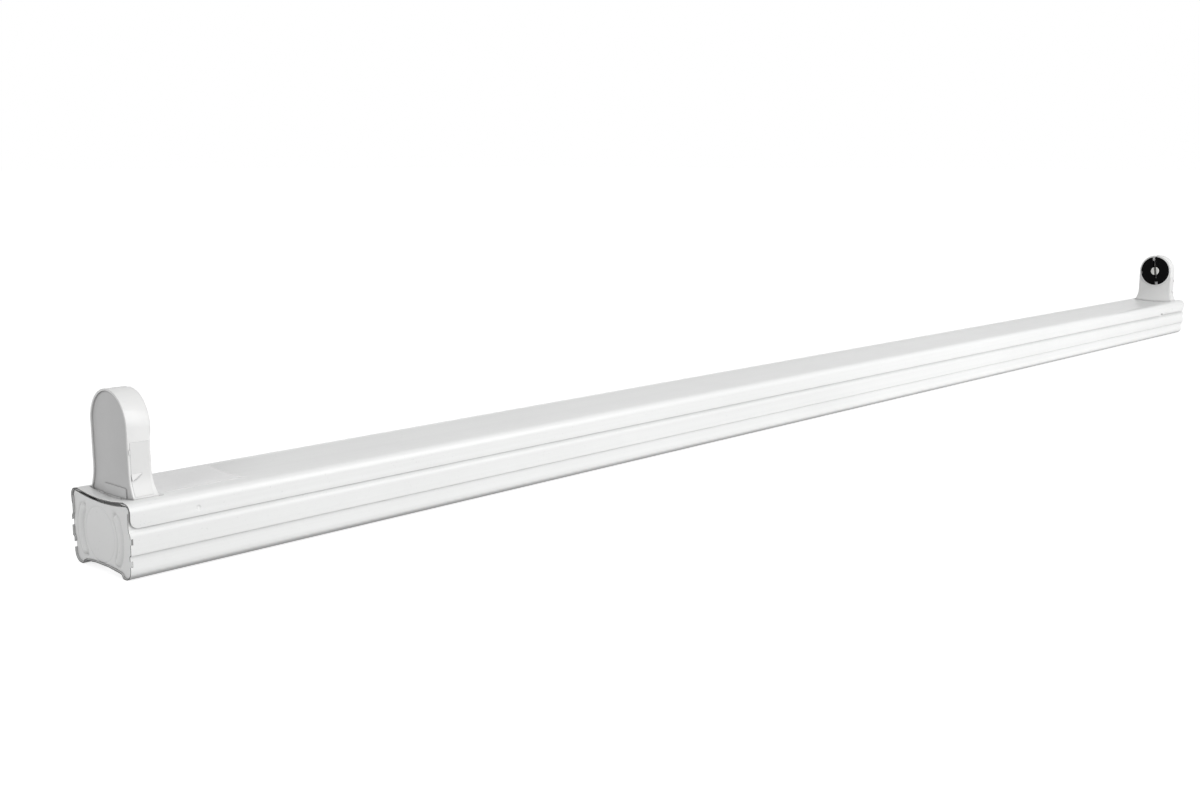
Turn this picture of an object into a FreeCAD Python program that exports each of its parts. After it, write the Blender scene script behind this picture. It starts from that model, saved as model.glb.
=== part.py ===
import FreeCAD, Part
import math
import os

import Sketcher

# A surface-mounted batten light for one straight tube with two-pin caps, lying on its mounting side.
# X runs along the batten, Y across it and Z up, away from the ceiling. The origin is at the middle
# of the length and width, on the plane of the two foot ribs that lie against the ceiling.
# The tube isn't fitted. A section of the tray or the cover is drawn in Y and Z and carried along X.

Vector = FreeCAD.Vector
Rotation = FreeCAD.Rotation
Placement = FreeCAD.Placement

LEFT = -1
RIGHT = 1
SIDES = ((LEFT, "left"), (RIGHT, "right"))

# Every size that can be set by itself, in millimetres, with angles in degrees.
SIZES = (
    # The batten as a whole.
    ("lamp_gap", 1200.0),  # between the two collars that the tube's caps stand against
    ("end_setback", 6.3),  # from a lampholder's outer face to the end of the cover
    ("cover_width", 54.0),
    ("rim_height", 35.5),  # from the foot ribs to the fold lines of the cover
    ("gauge", 0.5),  # steel sheet of the tray and the cover
    ("overrun", 1.0),  # how far a cutting tool passes the face that it cuts
    # Cover.
    ("flange_drop", 11.3),
    ("flange_lean", 0.3),
    ("bend_radius", 4.0),
    ("fold_inset", 5.8),
    ("fold_fall", 0.35),
    ("dish_depth", 1.8),
    ("corner_round", 4.0),
    ("cutout_gap", 0.7),
    ("relief_radius", 1.3),
    ("dimple_inset", 33.6),
    ("dimple_drop", 7.6),
    ("dimple_radius", 1.7),
    ("dimple_tip", 0.8),
    ("dimple_depth", 0.45),
    ("pry_inset", 65.0),
    ("pry_length", 6.0),
    ("pry_depth", 1.6),
    # Tray.
    ("tray_overhang", 0.4),
    ("side_inset", 0.2),
    ("wall_gap", 0.9),
    ("lip_drop", 1.2),
    ("lip_inset", 9.5),
    ("lip_bend", 2.8),
    ("joggle_gap", 0.4),
    ("joggle_rise", 3.2),
    ("crease_height", 11.8),
    ("crease_step", 1.2),
    ("crease_rise", 1.6),
    ("foot_round", 5.0),
    ("foot_flat", 1.6),
    ("foot_slope", 3.0),
    ("foot_height", 2.0),
    ("floor_arch", 1.0),
    ("floor_gap", 0.05),
    ("fixing_spacing", 1000.0),
    ("fixing_slot_width", 5.2),
    ("fixing_slot_length", 12.0),
    # End caps.
    ("cap_gauge", 0.6),
    ("cap_inset", 0.5),
    ("cap_gap", 0.15),
    ("cap_drop", 1.4),
    ("cap_round", 3.0),
    ("cap_tab_length", 12.0),
    ("cap_tab_width", 16.0),
    ("tongue_high", 18.4),
    ("tongue_low", 8.0),
    ("tongue_height", 2.4),
    ("tongue_sink", 0.3),
    ("knockout_radius", 12.8),
    ("knockout_height", 16.5),
    ("knockout_offset", 2.2),
    ("groove_width", 0.6),
    ("groove_depth", 0.3),
    ("rib_radius", 18.2),
    ("rib_width", 3.2),
    ("rib_raise", 0.5),
    ("rib_spread", 34.0),
    ("rib_end_radius", 1.8),
    ("rivet_radius", 1.6),
    ("rivet_head_radius", 3.2),
    ("rivet_head_height", 0.9),
    # Lampholders.
    ("lamp_height", 31.2),  # from the cover's fold lines to the tube's axis
    ("collar_height", 0.8),
    ("collar_width", 0.9),
    ("holder_depth", 11.0),
    ("holder_width", 33.0),
    ("base_width", 38.8),
    ("flare_height", 11.0),
    ("flare_depth", 1.3),
    ("holder_wall", 1.5),
    ("face_wall", 1.6),
    ("holder_rim", 1.0),
    ("panel_recess", 0.6),
    ("panel_gauge", 1.2),
    ("panel_gap", 0.1),
    ("chamber_floor", 4.0),
    ("neck_gap", 0.4),
    ("wing_gap", 0.1),
    ("wing_width", 41.0),
    ("wing_height", 2.4),
    ("stem_width", 30.0),
    ("stem_bottom", 17.0),
    ("latch_width", 20.0),
    ("latch_height", 4.6),
    ("latch_raise", 0.6),
    ("latch_lift", 0.8),
    ("latch_offset", 2.5),
    # Rotors.
    ("rotor_radius", 14.8),
    ("rotor_edge_gap", 0.3),
    ("flange_thickness", 1.4),
    ("seat_gap", 0.1),
    ("hub_radius", 11.3),
    ("bearing_gap", 0.06),
    ("bearing_wall", 1.2),
    ("bearing_length", 1.5),
    ("pin_slot_width", 2.8),
    ("pin_slot_reach", 7.8),  # from the tube's axis to the closed end of the slot
    ("entry_width", 3.0),
    ("entry_depth", 8.6),
    ("notch_width", 3.4),
    ("notch_depth", 3.2),
    ("step_width", 2.6),
    ("step_depth", 0.8),
    ("boss_radius", 4.3),
    ("boss_gap", 0.05),
    ("boss_raise", 0.5),
    ("keeper_radius", 12.4),
    ("keeper_thickness", 1.0),
    ("rotor_rest_angle", 9.0),  # the rotors stand this far from the slot upright
    # Contact springs.
    ("spring_gauge", 0.4),
    ("spring_offset", 7.8),
    ("spring_start", 5.4),
    ("spring_rise", 3.5),
    ("spring_tip_run", 1.4),
    ("spring_tip_rise", 2.6),
    ("spring_bottom", 22.0),
    ("spring_slot_gap", 0.1),
    # Wires, clips and earth.
    ("wire_radius", 1.0),
    ("wire_hole_gap", 0.15),
    ("wire_hole_height", 24.5),
    ("wire_insert", 5.0),
    ("run_offset", 13.0),
    ("run_lift", 1.0),
    ("turn_radius", 8.0),
    ("slope_radius", 40.0),
    ("rise_radius", 25.0),
    ("drop_place", 60.0),
    ("drop_length", 60.0),
    ("rise_gap", 16.0),
    ("rise_length", 90.0),
    ("wire_end_gap", 0.4),
    ("earth_turn_radius", 4.5),
    ("earth_level", 3.0),
    ("clip_length", 8.0),
    ("clip_width", 5.6),
    ("clip_height", 3.8),
    ("clip_gap", 0.1),
    ("clip_near", 150.0),
    ("clip_far", 450.0),
    ("lug_place", 52.0),
    ("lug_offset", 0.0),
    ("earth_lane", 9.5),
    ("lug_radius", 4.0),
    ("lug_gauge", 0.8),
    ("lug_barrel_radius", 1.6),
    ("lug_barrel_length", 6.0),
    ("lug_barrel_gap", 0.05),
    # Terminal block and cable entry.
    ("pole_pitch", 10.0),
    ("block_depth", 20.0),
    ("block_height", 14.0),
    ("block_offset", 5.0),
    ("block_axis_height", 6.5),
    ("block_rib", 1.2),
    ("clamp_radius", 2.5),
    ("clamp_bore", 1.1),
    ("clamp_inset", 1.5),
    ("clamp_gap", 0.1),
    ("terminal_screw_radius", 1.5),
    ("terminal_screw_head", 1.9),
    ("terminal_screw_head_height", 1.2),
    ("terminal_screw_spread", 5.0),
    ("terminal_screw_drop", 1.6),
    ("screw_gap", 0.1),
    ("driver_slot_width", 0.6),
    ("driver_slot_depth", 0.6),
    ("block_screw_radius", 1.4),
    ("block_screw_head", 2.0),
    ("block_screw_head_height", 1.4),
    ("block_screw_tail", 1.0),
    ("earth_screw_radius", 1.9),
    ("earth_screw_head", 3.6),
    ("earth_screw_head_height", 1.8),
    ("washer_radius", 3.8),
    ("washer_gauge", 0.5),
    ("entry_place", 50.0),
    ("grommet_bore", 4.5),
    ("grommet_neck", 7.0),
    ("grommet_flange", 9.5),
    ("grommet_top", 2.2),
    ("grommet_bottom", 1.3),
    ("grommet_gap", 0.2),
    # Rating label.
    ("label_start", 22.0),
    ("label_length", 46.0),
    ("label_front_inset", 8.7),
    ("label_back_inset", 1.2),
    ("label_gauge", 0.12),
    ("label_gap", 0.02),  # the glue under the film
)


class Size:
    """A length that knows its number and the text that binds it to the sheet."""

    def __init__(self, value, text):
        self.value = float(value)
        self.text = text

    def __add__(self, other):
        other = as_size(other)
        return Size(self.value + other.value, f"({self.text} + {other.text})")

    def __sub__(self, other):
        other = as_size(other)
        return Size(self.value - other.value, f"({self.text} - {other.text})")

    def __mul__(self, other):
        other = as_size(other)
        return Size(self.value * other.value, f"({self.text} * {other.text})")

    def __truediv__(self, other):
        other = as_size(other)
        return Size(self.value / other.value, f"({self.text} / {other.text})")

    def __neg__(self):
        return Size(-self.value, f"(-1 * {self.text})")

    def __rmul__(self, other):
        return as_size(other) * self

    def __float__(self):
        return self.value


def as_size(value):
    """A plain number as a size, for sums."""
    if isinstance(value, Size):
        return value
    return Size(value, repr(value))


def root(size):
    return Size(math.sqrt(size.value), f"sqrt({size.text})")


def cosine(angle):
    return Size(math.cos(math.radians(angle.value)), f"cos({angle.text})")


def sine(angle):
    return Size(math.sin(math.radians(angle.value)), f"sin({angle.text})")


document = FreeCAD.newDocument("BattenLight")
sheet = document.addObject("Spreadsheet::Sheet", "Sizes")


class Named:
    """The sizes of the sheet by name."""


def fill_sheet():
    """Writes each size into the sheet and reads it back as a bound size."""
    named = Named()
    for row, (alias, value) in enumerate(SIZES, start=1):
        sheet.set(f"A{row}", alias)
        sheet.set(f"B{row}", str(value))
        sheet.setAlias(f"B{row}", alias)
    document.recompute()
    for alias, _ in SIZES:
        setattr(named, alias, Size(sheet.get(alias), f"Sizes.{alias}"))
    return named


S = fill_sheet()

# Places that follow from the sizes.
half_width = S.cover_width / 2
half_length = S.lamp_gap / 2 + S.collar_height + S.holder_depth + S.end_setback
tray_half_length = half_length + S.tray_overhang
lamp_axis = S.rim_height + S.lamp_height
fold_half = half_width - S.fold_inset
dish_radius = (fold_half * fold_half + S.dish_depth * S.dish_depth) / (2 * S.dish_depth)
flange_edge = S.rim_height - S.flange_drop
wall_half = half_width - S.gauge - S.wall_gap
side_half = half_width - S.side_inset
lower_half = side_half - S.crease_step
lip_top = S.rim_height - S.lip_drop
lip_half = half_width - S.lip_inset
floor_under = S.foot_height + S.floor_arch
floor_top = floor_under + S.gauge
floor_edge_top = S.foot_height + S.gauge
floor_half = lower_half - S.foot_round - S.foot_flat - S.foot_slope
floor_radius = (floor_half * floor_half + S.floor_arch * S.floor_arch) / (2 * S.floor_arch)
holder_half = S.holder_width / 2
base_half = S.base_width / 2
holder_face = S.collar_height
holder_back = S.collar_height + S.holder_depth
panel_half = holder_half - S.holder_rim
panel_back = holder_back - S.panel_recess
panel_front = panel_back - S.panel_gauge
seat_radius = S.rotor_radius + S.rotor_edge_gap
bore_radius = S.hub_radius + S.bearing_gap
hub_end = holder_face + S.face_wall + S.bearing_length + S.seat_gap
wire_run_height = floor_edge_top + S.run_lift + S.wire_radius
pole_height = floor_top + S.block_axis_height


def bind(thing, **sizes):
    """Binds properties of a feature to sizes."""
    for name, size in sizes.items():
        thing.setExpression(name, as_size(size).text)


def move(thing, x=0, y=0, z=0, rotation=None):
    """Places a feature, with each coordinate bound to its size."""
    place = [as_size(x), as_size(y), as_size(z)]
    turn = rotation if rotation is not None else Rotation()
    thing.Placement = Placement(Vector(*(size.value for size in place)), turn)
    for axis, size in zip("xyz", place):
        if size.value != 0 or size.text != "0":
            thing.setExpression(f"Placement.Base.{axis}", size.text)


# Rotations that turn a solid's own Z axis to lie along X or Y, and a section's plane to Y and Z.
ALONG_X = Rotation(Vector(0, 1, 0), 90)
ALONG_Y = Rotation(Vector(1, 0, 0), -90)
SECTION_PLANE = Rotation(Vector(1, 1, 1), 120)
HALF_TURN = Rotation(Vector(0, 0, 1), 180)


def box(name, low, size, rotation=None):
    """A block from its lowest corner and its three sizes."""
    block = document.addObject("Part::Box", name)
    bind(block, Length=size[0], Width=size[1], Height=size[2])
    move(block, *low, rotation=rotation)
    return block


def cylinder(name, base, radius, height, rotation=None):
    rod = document.addObject("Part::Cylinder", name)
    bind(rod, Radius=radius, Height=height)
    move(rod, *base, rotation=rotation)
    return rod


def cone(name, base, low_radius, high_radius, height, rotation=None):
    taper = document.addObject("Part::Cone", name)
    bind(taper, Radius1=low_radius, Radius2=high_radius, Height=height)
    move(taper, *base, rotation=rotation)
    return taper


def fuse(name, pieces):
    joined = document.addObject("Part::MultiFuse", name)
    joined.Shapes = pieces
    return joined


def cut(name, base, tools):
    """The base less its tools, which are joined first when there are several."""
    result = document.addObject("Part::Cut", name)
    result.Base = base
    result.Tool = tools[0] if len(tools) == 1 else fuse(f"{name}_tools", tools)
    return result


def group(name, pieces):
    """Separate solids kept together as one sub-part."""
    together = document.addObject("Part::Compound", name)
    together.Links = pieces
    return together


def pin_point(sketch, geometry, end, point):
    """Holds one end of a line or arc at a bound point."""
    for kind, size, axis in (("DistanceX", as_size(point[0]), -2), ("DistanceY", as_size(point[1]), -1)):
        if size.value == 0 and size.text == "0":
            sketch.addConstraint(Sketcher.Constraint("PointOnObject", geometry, end, axis))
        else:
            index = sketch.addConstraint(Sketcher.Constraint(kind, -1, 1, geometry, end, size.value))
            sketch.setExpression(f"Constraints[{index}]", size.text)


def arc_between(start, end, radius, turn):
    """A circular arc under a half circle; turn is 1 when it bends left on its way and -1 when right."""
    first = Vector(float(as_size(start[0])), float(as_size(start[1])), 0)
    last = Vector(float(as_size(end[0])), float(as_size(end[1])), 0)
    chord = last - first
    reach = math.sqrt(max(radius.value ** 2 - (chord.Length / 2) ** 2, 0))
    left = Vector(-chord.y, chord.x, 0).normalize()
    centre = first + chord * 0.5 + left * (reach * turn)
    low, high = (first, last) if turn > 0 else (last, first)
    start_angle = math.atan2(low.y - centre.y, low.x - centre.x)
    end_angle = math.atan2(high.y - centre.y, high.x - centre.x)
    if end_angle < start_angle:
        end_angle += 2 * math.pi
    return Part.ArcOfCircle(Part.Circle(centre, Vector(0, 0, 1), radius.value), start_angle, end_angle)


def draw(sketch, start, steps, closed=True):
    """Draws a chain of lines and arcs through bound points, closed back to its start if asked."""
    if closed:
        steps = list(steps) + [(start,)]
    here = start
    first_end = None
    last_end = None
    for number, step in enumerate(steps):
        point = step[0]
        if len(step) == 1:
            tail = Vector(float(as_size(here[0])), float(as_size(here[1])), 0)
            tip = Vector(float(as_size(point[0])), float(as_size(point[1])), 0)
            geometry = sketch.addGeometry(Part.LineSegment(tail, tip))
            begin, finish = 1, 2
        else:
            radius, turn = step[1], step[2]
            geometry = sketch.addGeometry(arc_between(here, point, radius, turn))
            begin, finish = (1, 2) if turn > 0 else (2, 1)
            index = sketch.addConstraint(Sketcher.Constraint("Radius", geometry, radius.value))
            sketch.setExpression(f"Constraints[{index}]", radius.text)
        if last_end is None:
            pin_point(sketch, geometry, begin, here)
            first_end = (geometry, begin)
        else:
            sketch.addConstraint(Sketcher.Constraint("Coincident", *last_end, geometry, begin))
        if closed and number == len(steps) - 1:
            sketch.addConstraint(Sketcher.Constraint("Coincident", geometry, finish, *first_end))
        else:
            pin_point(sketch, geometry, finish, point)
        last_end = (geometry, finish)
        here = point


def draw_circle(sketch, centre, radius):
    middle = Vector(float(as_size(centre[0])), float(as_size(centre[1])), 0)
    geometry = sketch.addGeometry(Part.Circle(middle, Vector(0, 0, 1), radius.value))
    index = sketch.addConstraint(Sketcher.Constraint("Radius", geometry, radius.value))
    sketch.setExpression(f"Constraints[{index}]", radius.text)
    pin_point(sketch, geometry, 3, centre)


def section(name, start, steps, closed=True):
    """A section drawn in Y and Z."""
    sketch = document.addObject("Sketcher::SketchObject", name)
    sketch.Placement = Placement(Vector(), SECTION_PLANE)
    draw(sketch, start, steps, closed)
    return sketch


def strip_face(name, path, thickness):
    """The cut face of a bent sheet: a strip beside an open path, on its right, or its left when negative."""
    band = document.addObject("Part::Offset2D", name)
    band.Source = path
    band.Mode = "Skin"
    band.Join = "Intersection"
    band.Fill = True
    bind(band, Value=thickness)
    return band


def carry_along_x(name, face, start, length):
    """Carries a section along X from its start."""
    solid = document.addObject("Part::Extrusion", name)
    solid.Base = face
    solid.DirMode = "Custom"
    solid.Dir = Vector(1, 0, 0)
    solid.Solid = True
    bind(solid, LengthFwd=length)
    move(solid, start)
    return solid


def s_bend(start, end, turn, upright=True):
    """Two equal arcs that shift a line sideways and end parallel to its start."""
    across = as_size(end[0]) - start[0]
    along = as_size(end[1]) - start[1]
    shift = across if upright else along
    radius = (across * across + along * along) / (4 * shift)
    if radius.value < 0:
        radius = -radius
    middle = ((as_size(start[0]) + end[0]) / 2, (as_size(start[1]) + end[1]) / 2)
    return [(middle, radius, turn), (end, radius, -turn)]


def mirrored(start, steps):
    """The same chain on the other side of the batten, run backwards."""
    points = [start] + [step[0] for step in steps]
    back = []
    for number in range(len(steps) - 1, -1, -1):
        y, z = points[number]
        place = (-as_size(y), z)
        step = steps[number]
        back.append((place,) if len(step) == 1 else (place, step[1], step[2]))
    return back


def tray_side():
    """The tray's outer face from the top of the front wall down to the edge of the raised floor."""
    joggle_top = (-wall_half, flange_edge - S.joggle_gap)
    joggle_bottom = (-side_half, flange_edge - S.joggle_gap - S.joggle_rise)
    crease_top = (-side_half, S.crease_height + S.crease_rise / 2)
    crease_bottom = (-lower_half, S.crease_height - S.crease_rise / 2)
    foot_outer = (-(lower_half - S.foot_round), 0)
    foot_inner = (-(lower_half - S.foot_round - S.foot_flat), 0)
    floor_edge = (-floor_half, S.foot_height)
    steps = [(joggle_top,)]
    steps += s_bend(joggle_top, joggle_bottom, -1)
    steps += [(crease_top,)]
    steps += s_bend(crease_top, crease_bottom, 1)
    steps += [((-lower_half, S.foot_round),), (foot_outer, S.foot_round, 1), (foot_inner,)]
    steps += s_bend(foot_inner, floor_edge, 1, upright=False)
    return steps


def floor_arc():
    """The raised floor's shallow arch, from its front edge to its back edge."""
    return ((floor_half, S.foot_height), floor_radius, -1)


def under_arch(name, radius):
    """A round form along X whose top is the arch of the floor's under or upper side."""
    low = floor_under - floor_radius
    return cylinder(name, (-tray_half_length, 0, low), radius, 2 * tray_half_length, ALONG_X)


def on_floor(name, solid):
    """Shapes a solid's base to the arched floor that it stands on."""
    return cut(name, solid, [under_arch(f"{name}_floor", floor_radius + S.gauge + S.floor_gap)])


def make_tray():
    """The folded steel tray with its foot ribs, creased sides and inward lips."""
    start = (-lip_half, lip_top)
    top_bend = (-(wall_half - S.lip_bend), lip_top)
    wall_top = (-wall_half, lip_top - S.lip_bend)
    front = [(top_bend,), (wall_top, S.lip_bend, 1)] + tray_side()
    steps = front + [floor_arc()] + mirrored(start, front)
    path = section("tray_path", start, steps, closed=False)
    face = strip_face("tray_face", path, -S.gauge)
    blank = carry_along_x("tray_blank", face, -tray_half_length, 2 * tray_half_length)
    tools = []
    cap_space = S.cap_inset + S.cap_gauge + S.cap_gap
    for side, word in SIDES:
        end = tray_half_length + S.overrun if side == RIGHT else -(tray_half_length - cap_space)
        start_x = end - (cap_space + S.overrun)
        lip_cut = S.lip_bend + S.gauge
        tools.append(box(f"lip_cut_{word}", (start_x, -half_width, lip_top - lip_cut),
                         (cap_space + S.overrun, S.cover_width, lip_cut + S.overrun)))
        for height, level in ((S.tongue_high, "high"), (S.tongue_low, "low")):
            notch = S.tongue_height + 2 * S.cap_gap
            tools.append(box(f"tongue_notch_{level}_{word}", (start_x, -half_width, height - notch / 2),
                             (cap_space + S.overrun, S.cover_width, notch)))
        tools += fixing_slot(side, word)
        tools.append(floor_hole(f"rivet_hole_{word}", side * rivet_place(), 0, S.rivet_radius))
    tools.append(floor_hole("cable_hole", S.entry_place, 0, S.grommet_neck + S.boss_gap))
    tools.append(floor_hole("block_hole", S.pole_pitch / 2, S.block_offset, S.block_screw_radius + S.boss_gap))
    tools.append(floor_hole("earth_hole", -S.lug_place, -S.lug_offset, S.earth_screw_radius + S.boss_gap))
    return cut("base_channel", blank, tools)


def floor_hole(name, x, y, radius):
    return cylinder(name, (x, y, S.foot_height - S.overrun), radius, S.floor_arch + 3 * S.overrun)


def fixing_slot(side, word):
    """A slot along X for one ceiling screw."""
    straight = S.fixing_slot_length - S.fixing_slot_width
    middle = side * S.fixing_spacing / 2
    radius = S.fixing_slot_width / 2
    low = S.foot_height - S.overrun
    height = S.floor_arch + 3 * S.overrun
    return [
        box(f"slot_middle_{word}", (middle - straight / 2, -radius, low), (straight, 2 * radius, height)),
        floor_hole(f"slot_near_{word}", middle - straight / 2, 0, radius),
        floor_hole(f"slot_far_{word}", middle + straight / 2, 0, radius),
    ]


def make_cover():
    """The clip-on steel cover: a dished top, folds, rounded edges and two flanges."""
    lower = (-(half_width - S.flange_lean), flange_edge)
    bend_low = (-half_width, S.rim_height - S.fold_fall - S.bend_radius)
    bend_high = (-(half_width - S.bend_radius), S.rim_height - S.fold_fall)
    fold = (-fold_half, S.rim_height)
    front = [(bend_low,), (bend_high, S.bend_radius, -1), (fold,)]
    steps = front + [((fold_half, S.rim_height), dish_radius, 1)] + mirrored(lower, front)
    path = section("cover_path", lower, steps, closed=False)
    face = strip_face("cover_face", path, S.gauge)
    blank = carry_along_x("cover_blank", face, -half_length, 2 * half_length)
    bumps = []
    tools = []
    for side, word in SIDES:
        tools.append(cover_cutout(side, word))
        tools.append(flange_corner(side, word))
        for across, edge in ((LEFT, "front"), (RIGHT, "back")):
            bump, recess = dimple(side, across, f"{edge}_{word}")
            bumps.append(bump)
            tools.append(recess)
    tools.append(box("pry_notch", (half_length - S.pry_inset, -half_width - S.overrun, flange_edge - S.overrun),
                     (S.pry_length, S.cover_width + 2 * S.overrun, S.pry_depth + S.overrun)))
    return cut("cover", fuse("cover_pressed", [blank] + bumps), tools)


def cover_cutout(side, word):
    """The opening that a lampholder's flared base stands in, with a round relief at its two lamp-side corners."""
    inner = S.lamp_gap / 2 + holder_face - S.flare_depth - S.cutout_gap
    outer = S.lamp_gap / 2 + holder_back + S.cutout_gap
    half = base_half + S.cutout_gap
    low = S.rim_height - S.dish_depth - S.gauge - S.overrun
    height = S.dish_depth + S.gauge + 2 * S.overrun
    start = inner if side == RIGHT else -outer
    window = box(f"window_{word}", (start, -half, low), (outer - inner, 2 * half, height))
    reliefs = [
        cylinder(f"relief_{edge}_{word}", (side * inner, across * half, low), S.relief_radius, height)
        for across, edge in ((LEFT, "front"), (RIGHT, "back"))
    ]
    return fuse(f"cutout_{word}", [window] + reliefs)


def flange_corner(side, word):
    """What the rounded lower corners of the flanges leave away at one end."""
    radius = S.corner_round
    reach = 2 * (half_width + S.overrun)
    start = half_length - radius if side == RIGHT else -half_length - S.overrun
    block = box(f"corner_block_{word}", (start, -half_width - S.overrun, flange_edge - S.overrun),
                (radius + S.overrun, reach, radius + S.overrun))
    rod = cylinder(f"corner_rod_{word}", (side * (half_length - radius), -half_width - S.overrun,
                                          flange_edge + radius), radius, reach, ALONG_Y)
    return cut(f"corner_{word}", block, [rod])


def dimple(side, across, word):
    """A pressed dimple in a flange: the bump on its inside and the hollow on its outside."""
    x = side * (half_length - S.dimple_inset)
    z = S.rim_height - S.dimple_drop
    middle = half_width - (S.flange_lean + S.gauge) / 2
    turn = Rotation(Vector(1, 0, 0), 90 * across)
    bump = cone(f"bump_{word}", (x, across * middle, z), S.dimple_radius, S.dimple_tip,
                S.gauge / 2 + S.dimple_depth, turn)
    hollow = cone(f"hollow_{word}", (x, across * half_width, z), S.dimple_radius, S.dimple_tip,
                  S.dimple_depth + S.flange_lean / 2, turn)
    return bump, hollow


def rivet_place():
    """How far from the middle an end cap's rivet stands."""
    return tray_half_length - S.cap_inset - S.cap_gauge - S.cap_tab_length / 2


def cap_outline(word):
    """The outline of an end cap before it is drawn in from the tray's outer face."""
    side_steps = tray_side()
    top = S.rim_height - S.cap_drop + S.cap_gap
    start = (-wall_half, top - S.cap_round)
    top_half = wall_half - S.cap_round
    radius = (top_half * top_half + S.dish_depth * S.dish_depth) / (2 * S.dish_depth)
    steps = side_steps + [floor_arc()] + mirrored(start, side_steps)
    steps += [((top_half, top), S.cap_round, 1), ((-top_half, top), radius, -1), (start, S.cap_round, 1)]
    sketch = document.addObject("Sketcher::SketchObject", f"cap_path_{word}")
    sketch.Placement = Placement(Vector(), SECTION_PLANE)
    draw_closed_chain(sketch, start, steps)
    return sketch


def draw_closed_chain(sketch, start, steps):
    """Draws a chain whose last step already ends at its start."""
    draw(sketch, start, steps, closed=False)


def rib_steps(across, aside):
    """A pressed rib beside the knock-out: an arc with rounded ends."""
    inner = S.rib_radius - S.rib_width / 2
    outer = S.rib_radius + S.rib_width / 2
    cos, sin = cosine(S.rib_spread), sine(S.rib_spread)
    centre = S.knockout_height

    def spot(radius, up):
        return (aside + across * (radius * cos), centre + up * (radius * sin))

    start = spot(outer, -1)
    return start, [
        (spot(outer, 1), outer, across),
        (spot(inner, 1), S.rib_end_radius, across),
        (spot(inner, -1), inner, -across),
        (start, S.rib_end_radius, across),
    ]


def make_end_cap(side, word):
    """A pressed end plate with a round knock-out, two arched ribs, four tongues and a riveted tab."""
    wire = document.addObject("Part::Offset2D", f"cap_edge_{word}")
    wire.Source = cap_outline(word)
    wire.Mode = "Pipe"
    wire.Join = "Intersection"
    bind(wire, Value=-(S.gauge + S.cap_gap))
    outer = tray_half_length - S.cap_inset
    inner = outer - S.cap_gauge
    plate_start = inner if side == RIGHT else -outer
    aside = -side * S.knockout_offset
    pieces = [carry_along_x(f"cap_plate_{word}", wire, plate_start, S.cap_gauge)]
    for across, edge in ((LEFT, "front"), (RIGHT, "back")):
        rib = section(f"rib_path_{edge}_{word}", *rib_steps(across, aside), closed=False)
        rib_start = inner if side == RIGHT else -(outer + S.rib_raise)
        pieces.append(carry_along_x(f"rib_{edge}_{word}", rib, rib_start, S.cap_gauge + S.rib_raise))
    for height, reach, level in ((S.tongue_high, side_half, "high"), (S.tongue_low, lower_half, "low")):
        reach = reach - S.tongue_sink
        pieces.append(box(f"tongues_{level}_{word}", (plate_start, -reach, height - S.tongue_height / 2),
                          (S.cap_gauge, 2 * reach, S.tongue_height)))
    tab_start = inner - S.cap_tab_length if side == RIGHT else -inner
    pieces.append(box(f"cap_tab_{word}", (tab_start, -S.cap_tab_width / 2, floor_top),
                      (S.cap_tab_length, S.cap_tab_width, S.cap_gauge)))
    groove_start = outer - S.groove_depth if side == RIGHT else -(outer + S.overrun)
    ring = cylinder(f"groove_ring_{word}", (groove_start, aside, S.knockout_height),
                    S.knockout_radius + S.groove_width, S.groove_depth + S.overrun, ALONG_X)
    disc = cylinder(f"groove_disc_{word}", (groove_start, aside, S.knockout_height),
                    S.knockout_radius, S.groove_depth + S.overrun, ALONG_X)
    hole = cylinder(f"tab_hole_{word}", (side * rivet_place(), 0, floor_top - S.overrun),
                    S.rivet_radius, 3 * S.overrun)
    return cut(f"end_cap_{word}", fuse(f"cap_pressed_{word}", pieces),
               [cut(f"groove_{word}", ring, [disc]), hole])


def make_rivets():
    """One blind rivet through each end cap's tab and the tray's floor."""
    rivets = []
    for side, word in SIDES:
        x = side * rivet_place()
        low = floor_under - S.rivet_head_height
        top = floor_top + S.cap_gauge
        shank = cylinder(f"rivet_shank_{word}", (x, 0, low), S.rivet_radius - S.boss_gap,
                         top + S.rivet_head_height - low)
        under = cone(f"rivet_head_{word}", (x, 0, low), S.rivet_radius, S.rivet_head_radius,
                     S.rivet_head_height - S.boss_gap)
        upset = cylinder(f"rivet_upset_{word}", (x, 0, top), (S.rivet_radius + S.rivet_head_radius) / 2,
                         S.rivet_head_height)
        rivets.append(fuse(f"rivet_{word}", [shank, under, upset]))
    return group("end_cap_rivets", rivets)


def plane_of(body, role):
    """One of a body's own origin planes."""
    return next(feature for feature in body.Origin.OriginFeatures if feature.Role == role)


def body_sketch(body, name, role, offset=0):
    """A sketch on one of the body's origin planes, moved along the plane's normal."""
    sketch = body.newObject("Sketcher::SketchObject", name)
    sketch.AttachmentSupport = [(plane_of(body, role), "")]
    sketch.MapMode = "FlatFace"
    offset = as_size(offset)
    sketch.AttachmentOffset = Placement(Vector(0, 0, offset.value), Rotation())
    if offset.text != "0":
        sketch.setExpression("AttachmentOffset.Base.z", offset.text)
    return sketch


def pad(body, name, sketch, length):
    feature = body.newObject("PartDesign::Pad", name)
    feature.Profile = sketch
    bind(feature, Length=length)
    sketch.Visibility = False
    return feature


def pocket(body, name, sketch, length, forward=True, both_ways=False):
    """Cuts the sketch's shape away, forward along its normal unless told otherwise."""
    feature = body.newObject("PartDesign::Pocket", name)
    feature.Profile = sketch
    feature.Reversed = forward
    if both_ways:
        feature.SideType = "Symmetric"
    bind(feature, Length=length)
    sketch.Visibility = False
    return feature


def new_body(name, x=0, y=0, z=0, rotation=None):
    body = document.addObject("PartDesign::Body", name)
    move(body, x, y, z, rotation)
    return body


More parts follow.
